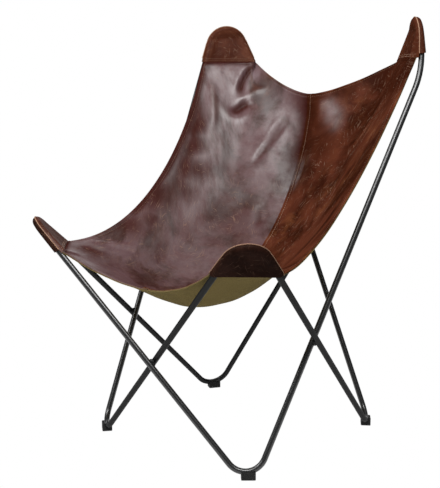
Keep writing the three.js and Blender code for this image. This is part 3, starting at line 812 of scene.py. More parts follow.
def mesh_from_grid(name, points, uv, facing=1, **marks):
    """A mesh over a grid of points, with its own flat coordinates and values at the points."""
    rows, columns = points.shape[:2]
    index = np.arange(rows * columns).reshape(rows, columns)
    faces = np.stack([index[:-1, :-1], index[:-1, 1:], index[1:, 1:], index[1:, :-1]], -1).reshape(-1, 4)
    faces = faces[:, ::facing]
    mesh = bpy.data.meshes.new(name)
    mesh.from_pydata(points.reshape(-1, 3).tolist(), [], faces.tolist())
    layer = mesh.uv_layers.new(name="cut")
    layer.uv.foreach_set("vector", uv.reshape(-1, 2)[faces.ravel()].astype(np.float32).ravel())
    mark_points(mesh, **marks)
    return new_piece(name, mesh)


RIGHT_BROWN = (0.072, 0.0135, 0.0086, 1)
RIGHT_DARK = (0.036, 0.0080, 0.0055, 1)
RIGHT_BURNISHED = (0.13, 0.042, 0.020, 1)
LEFT_BROWN = (0.094, 0.0240, 0.0112, 1)
LEFT_DARK = (0.032, 0.0072, 0.0030, 1)
LEFT_BURNISHED = (0.17, 0.056, 0.022, 1)
SCUFF_TAN = (0.31, 0.190, 0.130, 1)
RAW_EDGE = (0.36, 0.25, 0.15, 1)
RAW_EDGE_DARK = (0.16, 0.085, 0.045, 1)
WAX_BLOOM_AND_PAINTED_SHEEN = (0.170, 0.114, 0.128, 1)
WAX_ROUGHNESS = 0.37
WAX_IOR = 1.7
SCUFF_SHARE = 0.6

# Patterns of the hide, by the scale and kind of their noise, and where each starts and is full
CLOUD = {"scale": 9.0, "detail": 5, "roughness": 0.6, "distortion": 0.4}
BODY_CLOUDS = ((0.40, 0.0), (0.58, 1.0))
BLOOM_AND_SHEEN_CLOUDS = ((0.42, 0.0), (0.55, 0.34))
BURNISH = {"scale": 24.0, "detail": 6, "roughness": 0.65, "distortion": 0.5}
BURNISHED = ((0.46, 0.0), (0.66, 1.0))
LEAST_RUBBED = 0.10
RIDGE_BURNISH = 0.3
VALLEY_SHADE = 0.75
SWIRL = {"scale": 16.0, "detail": 2}
SWIRL_REACH = (0.04, 0.04, 0.0)
SCRATCH_TURNS = (0.5, 2.1, 2.9, 1.3)
SCRATCH_FINENESS = (1.0, 1.3, 0.8, 1.1)
SCRATCH_FIELDS = (15.0, 19.0, 12.0, 17.0)
SCRATCH_ACROSS = 420.0
SCRATCH_ALONG = 36.0
SCRATCHED = ((0.63, 0.0), (0.69, 1.0))
SCRATCHED_FIELD = ((0.48, 0.0), (0.58, 1.0))
LEAST_SCRATCHED = 0.15
FLECKS = {"scale": 150.0, "detail": 6, "roughness": 0.75}
FLECKED = ((0.62, 0.0), (0.76, 0.7))
PEBBLE_SCALE = 750.0
PEBBLE_HEIGHT = 0.7
PORES = {"scale": 1500.0, "detail": 3}
PORE_HEIGHT = 0.4
PEBBLING = {"strength": 0.22, "distance": 0.0005}
POLISH = {"scale": 22.0, "detail": 8, "roughness": 0.68}
POLISHED = ((0.38, 0.45), (0.60, 1.0))
UNEVENNESS = {"strength": 0.5, "distance": 0.0012}
CRUMPLE = {"scale": 19.0, "detail": 3, "roughness": 0.5, "distortion": 0.6}
CRUMPLE_LINE = 0.5
CRUMPLED = ((0.0, 0.0), (0.09, 1.0))
CRUMPLING = {"strength": 1.0, "distance": 0.0012}
LEAST_CRUMPLED = 0.06
SCRATCHED_CRUMPLED = 0.20


def stretched(tree, place, scale=(1, 1, 1), turn=0.0):
    """Coordinates stretched and turned for a pattern that has a direction."""
    sockets = {"Vector": place, "Scale": scale, "Rotation": (0, 0, turn)}
    return add_node(tree, "ShaderNodeMapping", sockets).outputs["Vector"]


# Marks of a waxed hide: cloudy tone, burnished patches, pale scuffs and scratches, and the pebbled grain
hide_marks, given = new_group("hide_marks", Place=VECTOR)
place = given["Place"]
swirl = {0: noise(hide_marks, place, **SWIRL, output="Color"), 1: SWIRL_REACH, 2: place}
bent = add_node(hide_marks, "ShaderNodeVectorMath", swirl, operation="MULTIPLY_ADD").outputs["Vector"]
scratches = 0.0
for turn, fineness, field in zip(SCRATCH_TURNS, SCRATCH_FINENESS, SCRATCH_FIELDS):
    drawn_out = (SCRATCH_ACROSS * fineness, SCRATCH_ALONG * fineness, 1.0)
    sheared = stretched(hide_marks, stretched(hide_marks, bent, turn=turn), drawn_out)
    line = ramp(hide_marks, noise(hide_marks, sheared, 1.0, detail=2), *SCRATCHED)
    patch = noise(hide_marks, stretched(hide_marks, place, turn=turn), field)
    marked = maths(hide_marks, "MULTIPLY", line, ramp(hide_marks, patch, *SCRATCHED_FIELD))
    scratches = maths(hide_marks, "MAXIMUM", scratches, marked)
flecks = ramp(hide_marks, noise(hide_marks, place, **FLECKS), *FLECKED)
pebbles = add_node(hide_marks, "ShaderNodeTexVoronoi", {"Vector": place, "Scale": PEBBLE_SCALE})
pores = maths(hide_marks, "MULTIPLY", noise(hide_marks, place, **PORES), PORE_HEIGHT)
off_fold = maths(hide_marks, "SUBTRACT", noise(hide_marks, place, **CRUMPLE), CRUMPLE_LINE)
put_out(
    hide_marks,
    Cloud=noise(hide_marks, place, **CLOUD),
    Burnish=ramp(hide_marks, noise(hide_marks, place, **BURNISH), *BURNISHED),
    Scuffs=maths(hide_marks, "MAXIMUM", scratches, flecks),
    Grain=maths(hide_marks, "MULTIPLY_ADD", pebbles.outputs["Distance"], PEBBLE_HEIGHT, pores),
    Polish=noise(hide_marks, place, **POLISH),
    Crumple=ramp(hide_marks, maths(hide_marks, "ABSOLUTE", off_fold), *CRUMPLED),
)


def waxed_hide(name, body, dark, burnished, scuff_share):
    """Leather by its tones: body, shaded clouds, burnished patches, the tan of scuffs, and painted shade
    and sheen.
    """
    material, tree, shader, where = new_material(
        name, Specular_IOR_Level=0.0, Coat_Roughness=WAX_ROUGHNESS, Coat_IOR=WAX_IOR)
    worn, rubbed, scratched, lustre = (
        attribute(tree, kind) for kind in ("worn", "rubbed", "scratched", "lustre"))
    marks = use_group(tree, hide_marks, Place=where["UV"])
    tone = mix_colour(tree, ramp(tree, marks["Cloud"], *BODY_CLOUDS), dark, body)
    rubbed = maths(tree, "ADD", rubbed, LEAST_RUBBED)
    patchy = maths(tree, "MULTIPLY", marks["Burnish"], rubbed, clamp=True)
    tone = mix_colour(tree, patchy, tone, burnished)
    ridge = maths(tree, "MULTIPLY", maths(tree, "MAXIMUM", worn, 0.0), RIDGE_BURNISH, clamp=True)
    tone = mix_colour(tree, ridge, tone, burnished)
    # Painted shade: crease hollows and darkened places go toward the dark tone
    valley = maths(tree, "MULTIPLY", maths(tree, "MINIMUM", worn, 0.0), -VALLEY_SHADE, clamp=True)
    tone = mix_colour(tree, valley, tone, dark)
    # A wax bloom and a painted sheen: a pale mauve grey mixed into the tone where the hide is lustrous
    bloom_and_painted_sheen = maths(tree, "MULTIPLY", lustre, ramp(tree, marks["Cloud"], *BLOOM_AND_SHEEN_CLOUDS))
    tone = mix_colour(tree, bloom_and_painted_sheen, tone, WAX_BLOOM_AND_PAINTED_SHEEN)
    density = maths(tree, "ADD", scratched, LEAST_SCRATCHED)
    density = maths(tree, "MULTIPLY", density, scuff_share, clamp=True)
    scuffed = maths(tree, "MULTIPLY", marks["Scuffs"], density)
    tone = mix_colour(tree, scuffed, tone, SCUFF_TAN)
    waxed = maths(tree, "MULTIPLY", lustre, ramp(tree, marks["Polish"], *POLISHED))
    waxed = maths(tree, "MULTIPLY", waxed, maths(tree, "SUBTRACT", 1.0, scuffed), clamp=True)
    depth = maths(tree, "MULTIPLY_ADD", scratched, SCRATCHED_CRUMPLED, LEAST_CRUMPLED)
    folded = maths(tree, "MULTIPLY", marks["Crumple"], depth)
    form = bump(tree, marks["Polish"], **UNEVENNESS)
    form = bump(tree, folded, **CRUMPLING, Normal=form)
    form = bump(tree, marks["Grain"], **PEBBLING, Normal=form)
    feed(tree, shader, Base_Color=tone, Coat_Weight=waxed, Normal=form)
    return material


FIBRE = {"scale": 900.0, "detail": 4, "roughness": 0.7}
FIBRE_TONES = (0.3, 0.6)
FIBRE_ROUGHNESS = ((0.3, 0.7), (0.7, 0.9))
FIBRE_RELIEF = {"strength": 0.5, "distance": 0.0004}


def cut_edge(name, *tones):
    """The undyed fibre that shows at a cut through the hide, by its dark and its pale tone."""
    material, tree, shader, where = new_material(name, Specular_IOR_Level=0.2)
    fibre = noise(tree, where["Object"], **FIBRE)
    feed(tree, shader, Base_Color=ramp(tree, fibre, *zip(FIBRE_TONES, tones)),
         Roughness=ramp(tree, fibre, *FIBRE_ROUGHNESS), Normal=bump(tree, fibre, **FIBRE_RELIEF))
    return material


hides = {
    "right": waxed_hide("waxed_hide", RIGHT_BROWN, RIGHT_DARK, RIGHT_BURNISHED, SCUFF_SHARE),
    "left": waxed_hide("dry_hide", LEFT_BROWN, LEFT_DARK, LEFT_BURNISHED, SCUFF_SHARE),
}
raw_edge = cut_edge("raw_edge", RAW_EDGE_DARK, RAW_EDGE)

# Where each half has been handled and where light is painted on it: its place as shares out and back,
# how far the mark reaches, how much of the dye has gone, how much it is scratched, and how much lustre
# it has won, which also paints a sheen into the tone; a value below nought darkens it instead, with
# painted shade and soil
WEAR_AND_PAINTED_LIGHT = {"right": [
    ((0.40, 0.56), 0.110, 0.10, 0.6, -0.68), ((0.73, 0.44), 0.100, 0.10, 0.7, -0.15),
    ((0.50, 0.30), 0.120, 0.15, 0.6, -0.28), ((0.66, 0.63), 0.060, 0.10, 0.3, -0.2),
    ((0.80, 0.97), 0.040, 0.20, 0.3, 0.0), ((0.70, 0.15), 0.080, 0.10, 0.8, 0.3),
    ((0.88, 0.26), 0.030, 0.00, 0.5, -0.8), ((0.85, 0.34), 0.034, 0.00, 0.5, -0.8),
    ((0.17, 0.61), 0.020, 0.00, 0.2, -0.3), ((0.12, 0.58), 0.100, 0.00, 0.2, -0.3),
    ((0.62, 0.68), 0.060, 0.10, 0.4, -0.50), ((0.56, 0.45), 0.060, 0.10, 0.6, -0.50),
    ((0.93, 0.42), 0.070, 0.00, 0.5, -0.9), ((0.72, 0.07), 0.055, 0.00, 0.4, -0.85),
    ((0.89, 0.75), 0.034, 0.00, 0.5, -0.8), ((0.84, 0.68), 0.036, 0.00, 0.5, -0.85),
    ((0.77, 0.61), 0.046, 0.00, 0.5, -0.9), ((0.76, 0.52), 0.050, 0.00, 0.5, -0.75),
    ((0.92, 0.26), 0.050, 0.00, 0.4, -0.85), ((0.54, 0.955), 0.030, 0.60, 0.2, 1.2),
    ((0.44, 0.93), 0.030, 0.60, 0.2, 1.0), ((0.46, 0.23), 0.060, 0.10, 0.4, 0.3),
], "left": [
    ((0.31, 0.945), 0.030, 0.45, 0.6, 0.0), ((0.12, 0.570), 0.050, 0.70, 0.6, 0.0),
    ((0.62, 0.80), 0.100, 0.10, 0.9, 0.0), ((0.50, 0.62), 0.100, 0.10, 0.9, 0.0),
    ((0.36, 0.76), 0.080, 0.10, 0.8, 0.0), ((0.82, 0.97), 0.085, 0.00, 0.7, -1.4),
    ((0.30, 0.45), 0.070, 0.10, 0.6, 0.0), ((0.13, 0.96), 0.018, 0.25, 0.2, 0.60),
    ((0.18, 0.93), 0.022, 0.25, 0.2, 0.75), ((0.25, 0.89), 0.018, 0.25, 0.2, 0.55),
    ((0.55, 0.94), 0.045, 0.00, 0.6, -0.65), ((0.25, 0.975), 0.022, 0.00, 0.3, -0.6),
    ((0.84, 0.73), 0.034, 0.95, 0.5, 0.0), ((0.70, 0.66), 0.034, 0.95, 0.5, 0.0),
    ((0.58, 0.60), 0.034, 0.95, 0.5, 0.0), ((0.03, 0.80), 0.020, 0.40, 0.2, 0.85),
    ((0.03, 0.75), 0.020, 0.40, 0.2, 0.75), ((0.09, 0.90), 0.026, 0.00, 0.2, -0.9),
    ((0.17, 0.83), 0.038, 0.00, 0.4, -0.95), ((0.15, 0.77), 0.035, 0.00, 0.3, -0.6),
    ((0.60, 0.87), 0.045, 0.00, 0.5, -0.6), ((0.62, 0.72), 0.050, 0.00, 0.6, -0.6),
]}
# Lustre sets the shine of the wax coat, and also how much painted sheen goes into the tone
LUSTRE = {"right": 1.12, "left": 0.03}
# Darker and duller along the hems and beside the centre seam up the back: painted shade where the hide
# curls at the hems and falls into the valley by the seam
HEM_SHADE = {"right": 0.95, "left": 0.25}
HEM_SHADE_REACH = 0.024
HEM_SHADE_EDGE = 4
HEM_SHADE_FROM = 0.20
HEM_SHADE_TO = 1.06
SEAM_SHADE_REACH = 0.038
SEAM_SHADE_FROM = 0.71
SHADE_FADE = 0.12
POCKET_SHADOW = 0.011
DULL_HOLLOW = 0.9


def wear_shade_and_lustre(hand, points, rear_share, to_side, to_seam):
    """How much each point of a half is rubbed and scratched, how much painted shade and soil darken it,
    and its lustre.
    """
    rubbed, scratched = np.zeros(points.shape[:-1]), np.zeros(points.shape[:-1])
    from_end = np.minimum(rear_share - HEM_SHADE_FROM, HEM_SHADE_TO - rear_share)
    by_hem = np.exp(-(to_side / HEM_SHADE_REACH) ** HEM_SHADE_EDGE) * smooth_step(from_end / SHADE_FADE)
    up_back = smooth_step((rear_share - SEAM_SHADE_FROM) / SHADE_FADE)
    by_seam = bell(to_seam, SEAM_SHADE_REACH) * up_back
    shade_and_soil = np.maximum(HEM_SHADE[SIDES[hand]] * by_hem, by_seam)
    lustre = np.full(points.shape[:-1], LUSTRE[SIDES[hand]])
    for (out, rear), reach, dye_gone, marked, sheen_and_shade in WEAR_AND_PAINTED_LIGHT[SIDES[hand]]:
        centre = sling_half(hand, np.array(out), np.array(rear))
        near = bell(np.linalg.norm(points - centre, axis=-1), reach)
        rubbed, scratched = np.maximum(rubbed, dye_gone * near), np.maximum(scratched, marked * near)
        shade_and_soil = np.clip(-sheen_and_shade * near, shade_and_soil, 1)
        lustre = lustre + max(sheen_and_shade, 0) * near
    return rubbed, scratched, shade_and_soil, lustre * (1 - shade_and_soil)


def thicken(piece, thickness, *materials):
    """The sheet gets its thickness on its hidden side, and its cut edges their own material."""
    for material in materials:
        piece.data.materials.append(material)
    apply_modifier(piece, "SOLIDIFY", thickness=thickness, offset=-1,
                   material_offset_rim=len(materials) - 1)
    bpy.ops.object.shade_smooth_by_angle(angle=SMOOTH_EDGE)


def leather_half(name, hand, past_middle, material):
    out, rear = half_grid(past_middle)
    points, normals, relief, worn, across, along = half_forms(hand, out, rear)
    to_side = across[:, [-1]] - across
    to_end = np.minimum(along, along[-1] - along)
    wander = np.sin(along * PUCKER_TURNS + WANDER * np.sin(along * WANDER_TURNS))
    pucker = PUCKER_HEIGHT * wander * bell(across, PUCKER_REACH)
    relief = relief + pucker + hem_relief(to_side, SIDE_HEM) + hem_relief(to_end, FREE_HEM)
    if hand > 0:
        relief = relief + LAP_RISE * smooth_step((2 * LAP_STITCH - across) / LAP_STITCH)
        relief = relief + hem_relief(across + past_middle, LAP_STITCH)
    at_pocket = smooth_step((out - POCKET_SHARE) / POCKET_SIDE)
    edge_wear = np.exp(-np.minimum(to_side, blend(to_end, to_side, at_pocket)) / EDGE_WEAR)
    rubbed, scratched, shade_and_soil, lustre = wear_shade_and_lustre(hand, points, rear, to_side, np.abs(across))
    rubbed = np.maximum(rubbed, edge_wear)
    shadow = at_pocket * bell(to_end, POCKET_SHADOW)
    shade_and_soil, lustre = np.maximum(shade_and_soil, shadow), lustre * (1 - shadow)
    lustre = lustre * (1 - DULL_HOLLOW * np.clip(-worn, 0, 1))
    top = points + normals * (LEATHER + relief)[..., None]
    uv = np.stack([across * hand, along], -1)
    # Rubbed edges count as wear, and the darkened places, painted shade and soil, go down to the dark
    # tone
    worn = (worn + edge_wear) * (1 - shade_and_soil) - shade_and_soil
    piece = mesh_from_grid(
        name, top, uv, hand, worn=worn, rubbed=rubbed, scratched=scratched, lustre=lustre)
    thicken(piece, LEATHER, material, raw_edge)
    # The cut edges at the lap are dyed like the face of the hide
    for face in piece.data.polygons:
        if abs(face.center.x) < 2 * RIGHT_TUCK and abs(face.normal.x) > LAP_EDGE_FACING:
            face.material_index = 0
    return piece, {"top": top, "normals": normals, "across": across, "along": along, "to_side": to_side}


halves = {}
for name, hand, past_middle in (("left", 1, LEFT_LAP), ("right", -1, RIGHT_TUCK)):
    piece, halves[name] = leather_half("leather_half_" + name, hand, past_middle, hides[name])
    add_to_chair(piece, "leather", "leather_panel_" + name)


# Canvas lining
# One piece of plain-woven khaki cotton canvas under both leather halves, which takes the pull of the
# sling. It is sewn to the leather round the edge, and it shows from below and as a line at the hems.
CANVAS = 0.001
LINING_ROWS = 150
LINING_COLUMNS = 110
KHAKI = (0.250, 0.190, 0.074, 1)
KHAKI_SHADE = (0.148, 0.111, 0.041, 1)
YARN_PITCH = 0.0011
YARN_HEIGHT = 0.5
SLUB_STRETCH = (30.0, 700.0, 1.0)
SLUB_HEIGHT = 0.8
CLOTH_SOIL = {"scale": 7.0, "detail": 4, "roughness": 0.6}
WEAVE_TONES = ((0.1, 0.0), (0.8, 1.0))
SOIL_TONES = ((0.45, 0.0), (0.75, 0.35))
CLOTH_ROUGHNESS = ((0.3, 0.8), (0.7, 0.95))
WEAVE_RELIEF = {"strength": 0.5, "distance": 0.0004}

# Plain weave on the cloth's own flat coordinates, with slubs and a little soiling
khaki_canvas, tree, shader, where = new_material("khaki_canvas", Specular_IOR_Level=0.05)
flat = add_node(tree, "ShaderNodeSeparateXYZ", {"Vector": where["UV"]}).outputs
warp, weft = (
    maths(tree, "SINE", maths(tree, "MULTIPLY", flat[axis], 2 * math.pi / YARN_PITCH))
    for axis in ("X", "Y")
)
yarns = maths(tree, "MULTIPLY", maths(tree, "MULTIPLY", warp, weft), YARN_HEIGHT)
slubs = noise(tree, stretched(tree, where["UV"], SLUB_STRETCH), 1.0)
weave = maths(tree, "ADD", yarns, maths(tree, "MULTIPLY", slubs, SLUB_HEIGHT))
darkening = ramp(tree, noise(tree, where["UV"], **CLOTH_SOIL), *SOIL_TONES)
tone = mix_colour(tree, ramp(tree, weave, *WEAVE_TONES), KHAKI_SHADE, KHAKI)
feed(tree, shader, Base_Color=mix_colour(tree, darkening, tone, KHAKI_SHADE),
     Roughness=ramp(tree, slubs, *CLOTH_ROUGHNESS), Normal=bump(tree, weave, **WEAVE_RELIEF))

lining_halves = []
for hand in (-1, 1):
    out, rear = np.meshgrid(np.linspace(0, 1, LINING_COLUMNS), end_clustered(LINING_ROWS))
    points, normals, relief, _, across, along = half_forms(hand, out, rear)
    under = points + normals * (relief - CLEARANCE)[..., None]
    lining_halves.append((under, np.stack([across * hand, along], -1)))
(right_under, right_flat), (left_under, left_flat) = lining_halves
left_under[:, 0] = (left_under[:, 0] + right_under[:, 0]) / 2
under = np.concatenate([right_under[:, :0:-1], left_under], 1)
flat = np.concatenate([right_flat[:, :0:-1], left_flat], 1)
lining = mesh_from_grid("canvas_sheet", under, flat)
thicken(lining, CANVAS, khaki_canvas)
add_to_chair(lining, "canvas", "canvas_lining")


# Ear pockets
# Each corner pocket is two leather caps, one on the sitter's side and one outside, sewn edge to edge
# round the ear of the bar. The face of each is drawn in between the legs, behind a padded rim.
POCKET_HEM = 0.008
POCKET_ROWS = {"straight": 24, "bend": 44}
RIM_COLUMNS = {"inner": 12, "outer": 20}
FACE_COLUMNS = 60
FACE_RECESS = 0.0018
RECESS_START = 0.0040
RECESS_WIDTH = 0.0150
LIP_WIDTH = 0.0030
RIM_WEAR_AND_SHADE = {"inner": 0.4, "outer": 0.0}
INNER_LUSTRE = {"back_left": 0.0, "back_right": 0.06, "front_left": 0.25, "front_right": 0.24}
OUTER_LUSTRE = 0.04
# How far each cap is taken toward its dark tone
INNER_DARKENING = {"back_left": 0.5, "back_right": 0.0, "front_left": 0.0, "front_right": 0.9}
OUTER_DARKENING = {"back_left": 0.9, "back_right": 0.9, "front_left": 0.0, "front_right": 0.0}
CAP_RUBBED = 0.10
CAP_SCRATCHED = 0.55
MOUTH_BLEND = 0.022
MOUTH_SAG = 0.003
CAP_SEAM_ANGLE = math.radians(18)
RIM_GAP = math.radians(4)
CAP_BROWN = (0.095, 0.0265, 0.0125, 1)
CAP_DARK = (0.055, 0.0145, 0.0075, 1)
# Tones of the outer caps of the front pockets, darkened as painted shade
SHADED_OUTER_BROWN = (0.024, 0.0088, 0.0056, 1)
SHADED_OUTER_DARK = (0.014, 0.0055, 0.0038, 1)
SHADED_OUTER_BURNISHED = (0.05, 0.019, 0.010, 1)
CAP_SCUFFS = 0.5
OUTER_SCUFFS = 0.2


def pocket_rows(ear, share, hem):
    """Levels and bend angles from a cap's lower edge to the crown, and which rows are straight."""
    turn = math.pi / 2 - ear.taper
    tangent = ear.bend * (1 - math.cos(turn))
    steps = np.linspace(0, 1, POCKET_ROWS["straight"], endpoint=False)[:, None]
    straight = blend(ear.mouth(share) - hem, tangent, steps)
    angles = np.linspace(turn, 0, POCKET_ROWS["bend"])[:, None] + np.zeros_like(share)
    levels = np.concatenate([straight, ear.bend * (1 - np.cos(angles))])
    angles = np.concatenate([np.full(straight.shape, turn), angles])
    return levels, angles, np.arange(len(levels))[:, None] < len(straight)


def pocket_rim(ear, hem, hand, angle, skin):
    """Points of a cap beside the bar, at angles round it, on the leg of one hand."""
    level, bend_angle, straight = pocket_rows(ear, np.full((1, 1), float(hand)), hem)
    offset = (BAR_RADIUS + POCKET_FIT + skin) * np.cos(angle)
    depth = np.where(angle > 0, ear.stand_off(level) + skin, BAR_RADIUS + POCKET_FIT + skin)
    reach = ear.bend + offset
    ease = POCKET_MOUTH_EASE * level / ear.pocket_length
    leg = ear.half_width(level) + offset / math.cos(ear.taper) + ease
    across = np.where(straight, leg, reach * np.sin(bend_angle))
    down = np.where(straight, level, ear.bend - reach * np.cos(bend_angle))
    return ear.point(hand * across, down, depth * np.sin(angle))


def pocket_face(ear, hem, share, side):
    """Points of a cap between the legs, and how far each lies in from the bar."""
    level, bend_angle, straight = pocket_rows(ear, share, hem)
    half_width = np.where(straight, ear.half_width(level), ear.bend * np.sin(bend_angle))
    across = share * half_width
    from_leg = (half_width - np.abs(across)) * math.cos(ear.taper)
    inside = np.where(straight, from_leg, ear.bend - np.hypot(across, ear.bend - level))
    from_mouth = smooth_step((ear.mouth(share) - level) / MOUTH_BLEND)
    at_mouth = POCKET_SAG * (1 - share ** 2) * half_width / ear.half_width(ear.pocket_length)
    recess = FACE_RECESS * smooth_step((inside - RECESS_START) / RECESS_WIDTH)
    sag = blend(at_mouth, recess, from_mouth)
    depth = LEATHER + (ear.stand_off(level) if side > 0 else BAR_RADIUS + POCKET_FIT)
    drop = 0 if side > 0 else MOUTH_SAG * (1 - share ** 2) * (1 - from_mouth)
    return ear.point(across, level + drop, side * (depth - sag)), inside


def pocket_cap(name, ear, kind, lustre, darkening, *materials):
    """A cap of a pocket, and the points of its outer face in rows from the mouth up."""
    inner = kind == "inner"
    side = 1 if inner else -1
    hem = 0 if inner else POCKET_HEM
    first, last = (CAP_SEAM_ANGLE, math.pi / 2) if inner else (CAP_SEAM_ANGLE - RIM_GAP, -math.pi / 2)
    angles = np.linspace(first, last, RIM_COLUMNS[kind])[None]
    shares = np.linspace(-1, 1, FACE_COLUMNS + 2)[None, 1:-1]
    face, inside = pocket_face(ear, hem, shares, side)
    right_rim, left_rim = (pocket_rim(ear, hem, hand, angles[:, ::-hand], LEATHER) for hand in (-1, 1))
    points = np.concatenate([right_rim, face, left_rim], 1)
    across, along = lengths_along(points, 1), lengths_along(points, 0)
    flat = np.stack([across - across[:, [-1]] / 2, along], -1)
    lip = bell(inside - RECESS_START, LIP_WIDTH)
    groove = bell(inside - RECESS_START - RECESS_WIDTH, LIP_WIDTH)
    rim = np.zeros(right_rim.shape[:2])
    # The lip of the rim counts as rubbed and the groove inside it is darkened: painted shade in the
    # recess
    worn = np.concatenate([rim, (lip - groove) * RIM_WEAR_AND_SHADE[kind], rim], 1)
    worn = worn + np.exp(-np.minimum(across, across[:, [-1]] - across) / EDGE_WEAR) - darkening
    even = {"lustre": lustre, "rubbed": CAP_RUBBED, "scratched": CAP_SCRATCHED}
    even = {mark: np.full(worn.shape, value) for mark, value in even.items()}
    cap = mesh_from_grid(name, points, flat, worn=worn, **even)
    mend_mesh(cap, bpy.ops.mesh.normals_make_consistent, inside=False)
    facing = Vector(side * ear.inward)
    middle = max(cap.data.polygons, key=lambda polygon: facing @ polygon.center)
    if middle.normal @ facing < 0:
        cap.data.flip_normals()
    thicken(cap, LEATHER, *materials)
    return cap, points


cap_hide = waxed_hide("cap_hide", CAP_BROWN, CAP_DARK, LEFT_BURNISHED, CAP_SCUFFS)
shaded_outer_hide = waxed_hide("shaded_outer_hide", SHADED_OUTER_BROWN, SHADED_OUTER_DARK, SHADED_OUTER_BURNISHED, OUTER_SCUFFS)
cap_faces = {}
for place, ear in ears.items():
    cap, cap_faces[place] = pocket_cap(
        "inner_cap_" + place, ear, "inner", INNER_LUSTRE[place], INNER_DARKENING[place], cap_hide, raw_edge)
    add_to_chair(cap, "leather", "pocket_inner_" + place)
    # The outer caps of the front pockets take a far darker hide than the back ones: painted shade, as
    # they face down and away from the lamps
    hide = shaded_outer_hide if place.startswith("front") else cap_hide
    cap, _ = pocket_cap("outer_cap_" + place, ear, "outer", OUTER_LUSTRE, OUTER_DARKENING[place], hide)
    add_to_chair(cap, "leather", "pocket_outer_" + place)


# Pocket seams
# A pale cord of cut hide round each ear: the raw edges of the two caps of its pocket, which stand up
# side by side where they are sewn together and are waxed afterwards.
SEAM_CORD = 0.0010
SEAM_STAND = 0.0004
WAXED_EDGE = (0.42, 0.25, 0.165, 1)
WAXED_EDGE_DARK = (0.20, 0.095, 0.055, 1)

waxed_edge = cut_edge("waxed_edge", WAXED_EDGE_DARK, WAXED_EDGE)
for place, ear in ears.items():
    angle = np.full((1, 1), CAP_SEAM_ANGLE - RIM_GAP / 2)
    right_side, left_side = (
        pocket_rim(ear, POCKET_HEM, hand, angle, LEATHER + SEAM_STAND)[:, 0] for hand in (-1, 1))
    path = np.concatenate([right_side, left_side[-2::-1]])
    cord = round_rod("pocket_seam_" + place, path, SEAM_CORD, closed=False)
    cord.data.materials.append(waxed_edge)
    add_to_chair(cord, "leather")


# Stitching
# Rows of waxed linen thread: one beside the centre seam on the lapped half, one along each hem and each
# free edge, and two across the base of each pocket. Each stitch lies a little sunk in the hide.
STITCH_PITCH = 0.0050
STITCH_LENGTH = 0.0039
THREAD_RADIUS = 0.00045
THREAD_SEGMENTS = 6
THREAD_RINGS = 5
STITCH_SINK = 0.0001
FREE_COLUMNS = LAP_COLUMNS + HALF_COLUMNS["free"] - 1
CAP_EDGE_COLUMNS = 2
BASE_ROWS = (0.0035, 0.0075)
PALE_LINEN = (0.44, 0.27, 0.18, 1)
BROWN_LINEN = (0.21, 0.112, 0.070, 1)
PLY = {"scale": 500.0, "detail": 2}
PLY_SHADE = 0.6
PLY_TONES = (0.35, 0.65)


def line_at(values, distance, reach):
    """The point of each line of a grid where a distance that grows along it comes to a reach."""
    return np.array([points_at(reach, run, line) for line, run in zip(values, distance)])


def stitches_along(line, normals):
    """Place and axes of each stitch along a line, as one 4 x 4 table a stitch."""
    run = lengths_along(line)
    places = np.arange(STITCH_PITCH, run[-1] - STITCH_PITCH / 2, STITCH_PITCH)
    behind, centre, ahead = (
        points_at(places + shift, run, line) for shift in (-STITCH_LENGTH / 2, 0, STITCH_LENGTH / 2))
    lengthways = unit(ahead - behind)
    sideways = unit(np.cross(points_at(places, run, normals), lengthways))
    up = np.cross(lengthways, sideways)
    axes = (lengthways * STITCH_LENGTH / 2, sideways * THREAD_RADIUS, up * THREAD_RADIUS)
    return np.stack([*axes, centre - up * STITCH_SINK], 1)


def sew(name, rows, material):
    """All the stitches of some rows, as one mesh of small rounded lengths of thread."""
    thread = unit_ball(name, THREAD_SEGMENTS, THREAD_RINGS, rotation=(0, math.pi / 2, 0))
    bpy.ops.object.transform_apply(rotation=True)
    shape = np.array([vert.co[:] for vert in thread.data.vertices])
    faces = [list(face.vertices) for face in thread.data.polygons]
    frames = np.concatenate([stitches_along(*row) for row in rows])
    points = np.einsum("va,sak->svk", np.insert(shape, 3, 1, 1), frames).reshape(-1, 3)
    thread.data.clear_geometry()
    joined = [[i + start for i in face] for start in range(0, len(points), len(shape)) for face in faces]
    thread.data.from_pydata(points.tolist(), [], joined)
    thread.data.materials.append(material)
    bpy.ops.object.shade_smooth()
    add_to_chair(thread, "canvas")


def linen(name, colour):
    """Waxed thread of one colour, darker between its plies."""
    material, tree, shader, where = new_material(name, Specular_IOR_Level=0.3, Roughness=0.6)
    shade = (*(part * PLY_SHADE for part in colour[:3]), 1)
    ply = noise(tree, where["Object"], **PLY)
    feed(tree, shader, Base_Color=ramp(tree, ply, *zip(PLY_TONES, (shade, colour))))
    return material


pale_linen, brown_linen = linen("pale_linen", PALE_LINEN), linen("brown_linen", BROWN_LINEN)
for name, forms in halves.items():
    kinds = (forms["top"], forms["normals"])
    rows = [[line_at(values[:, ::-1], forms["to_side"][:, ::-1], SIDE_HEM) for values in kinds]]
    if name == "left":
        centre = [line_at(values, forms["across"], LAP_STITCH - LEFT_LAP) for values in kinds]
        sew("stitching_centre", [centre], pale_linen)
    for order in (slice(None), slice(None, None, -1)):
        along, *free = (
            values[order, :FREE_COLUMNS].swapaxes(0, 1) for values in (forms["along"], *kinds))
        run = np.abs(along - along[:, :1])
        rows.append([line_at(values, run, FREE_HEM) for values in free])
    sew("stitching_half_" + name, rows, brown_linen)

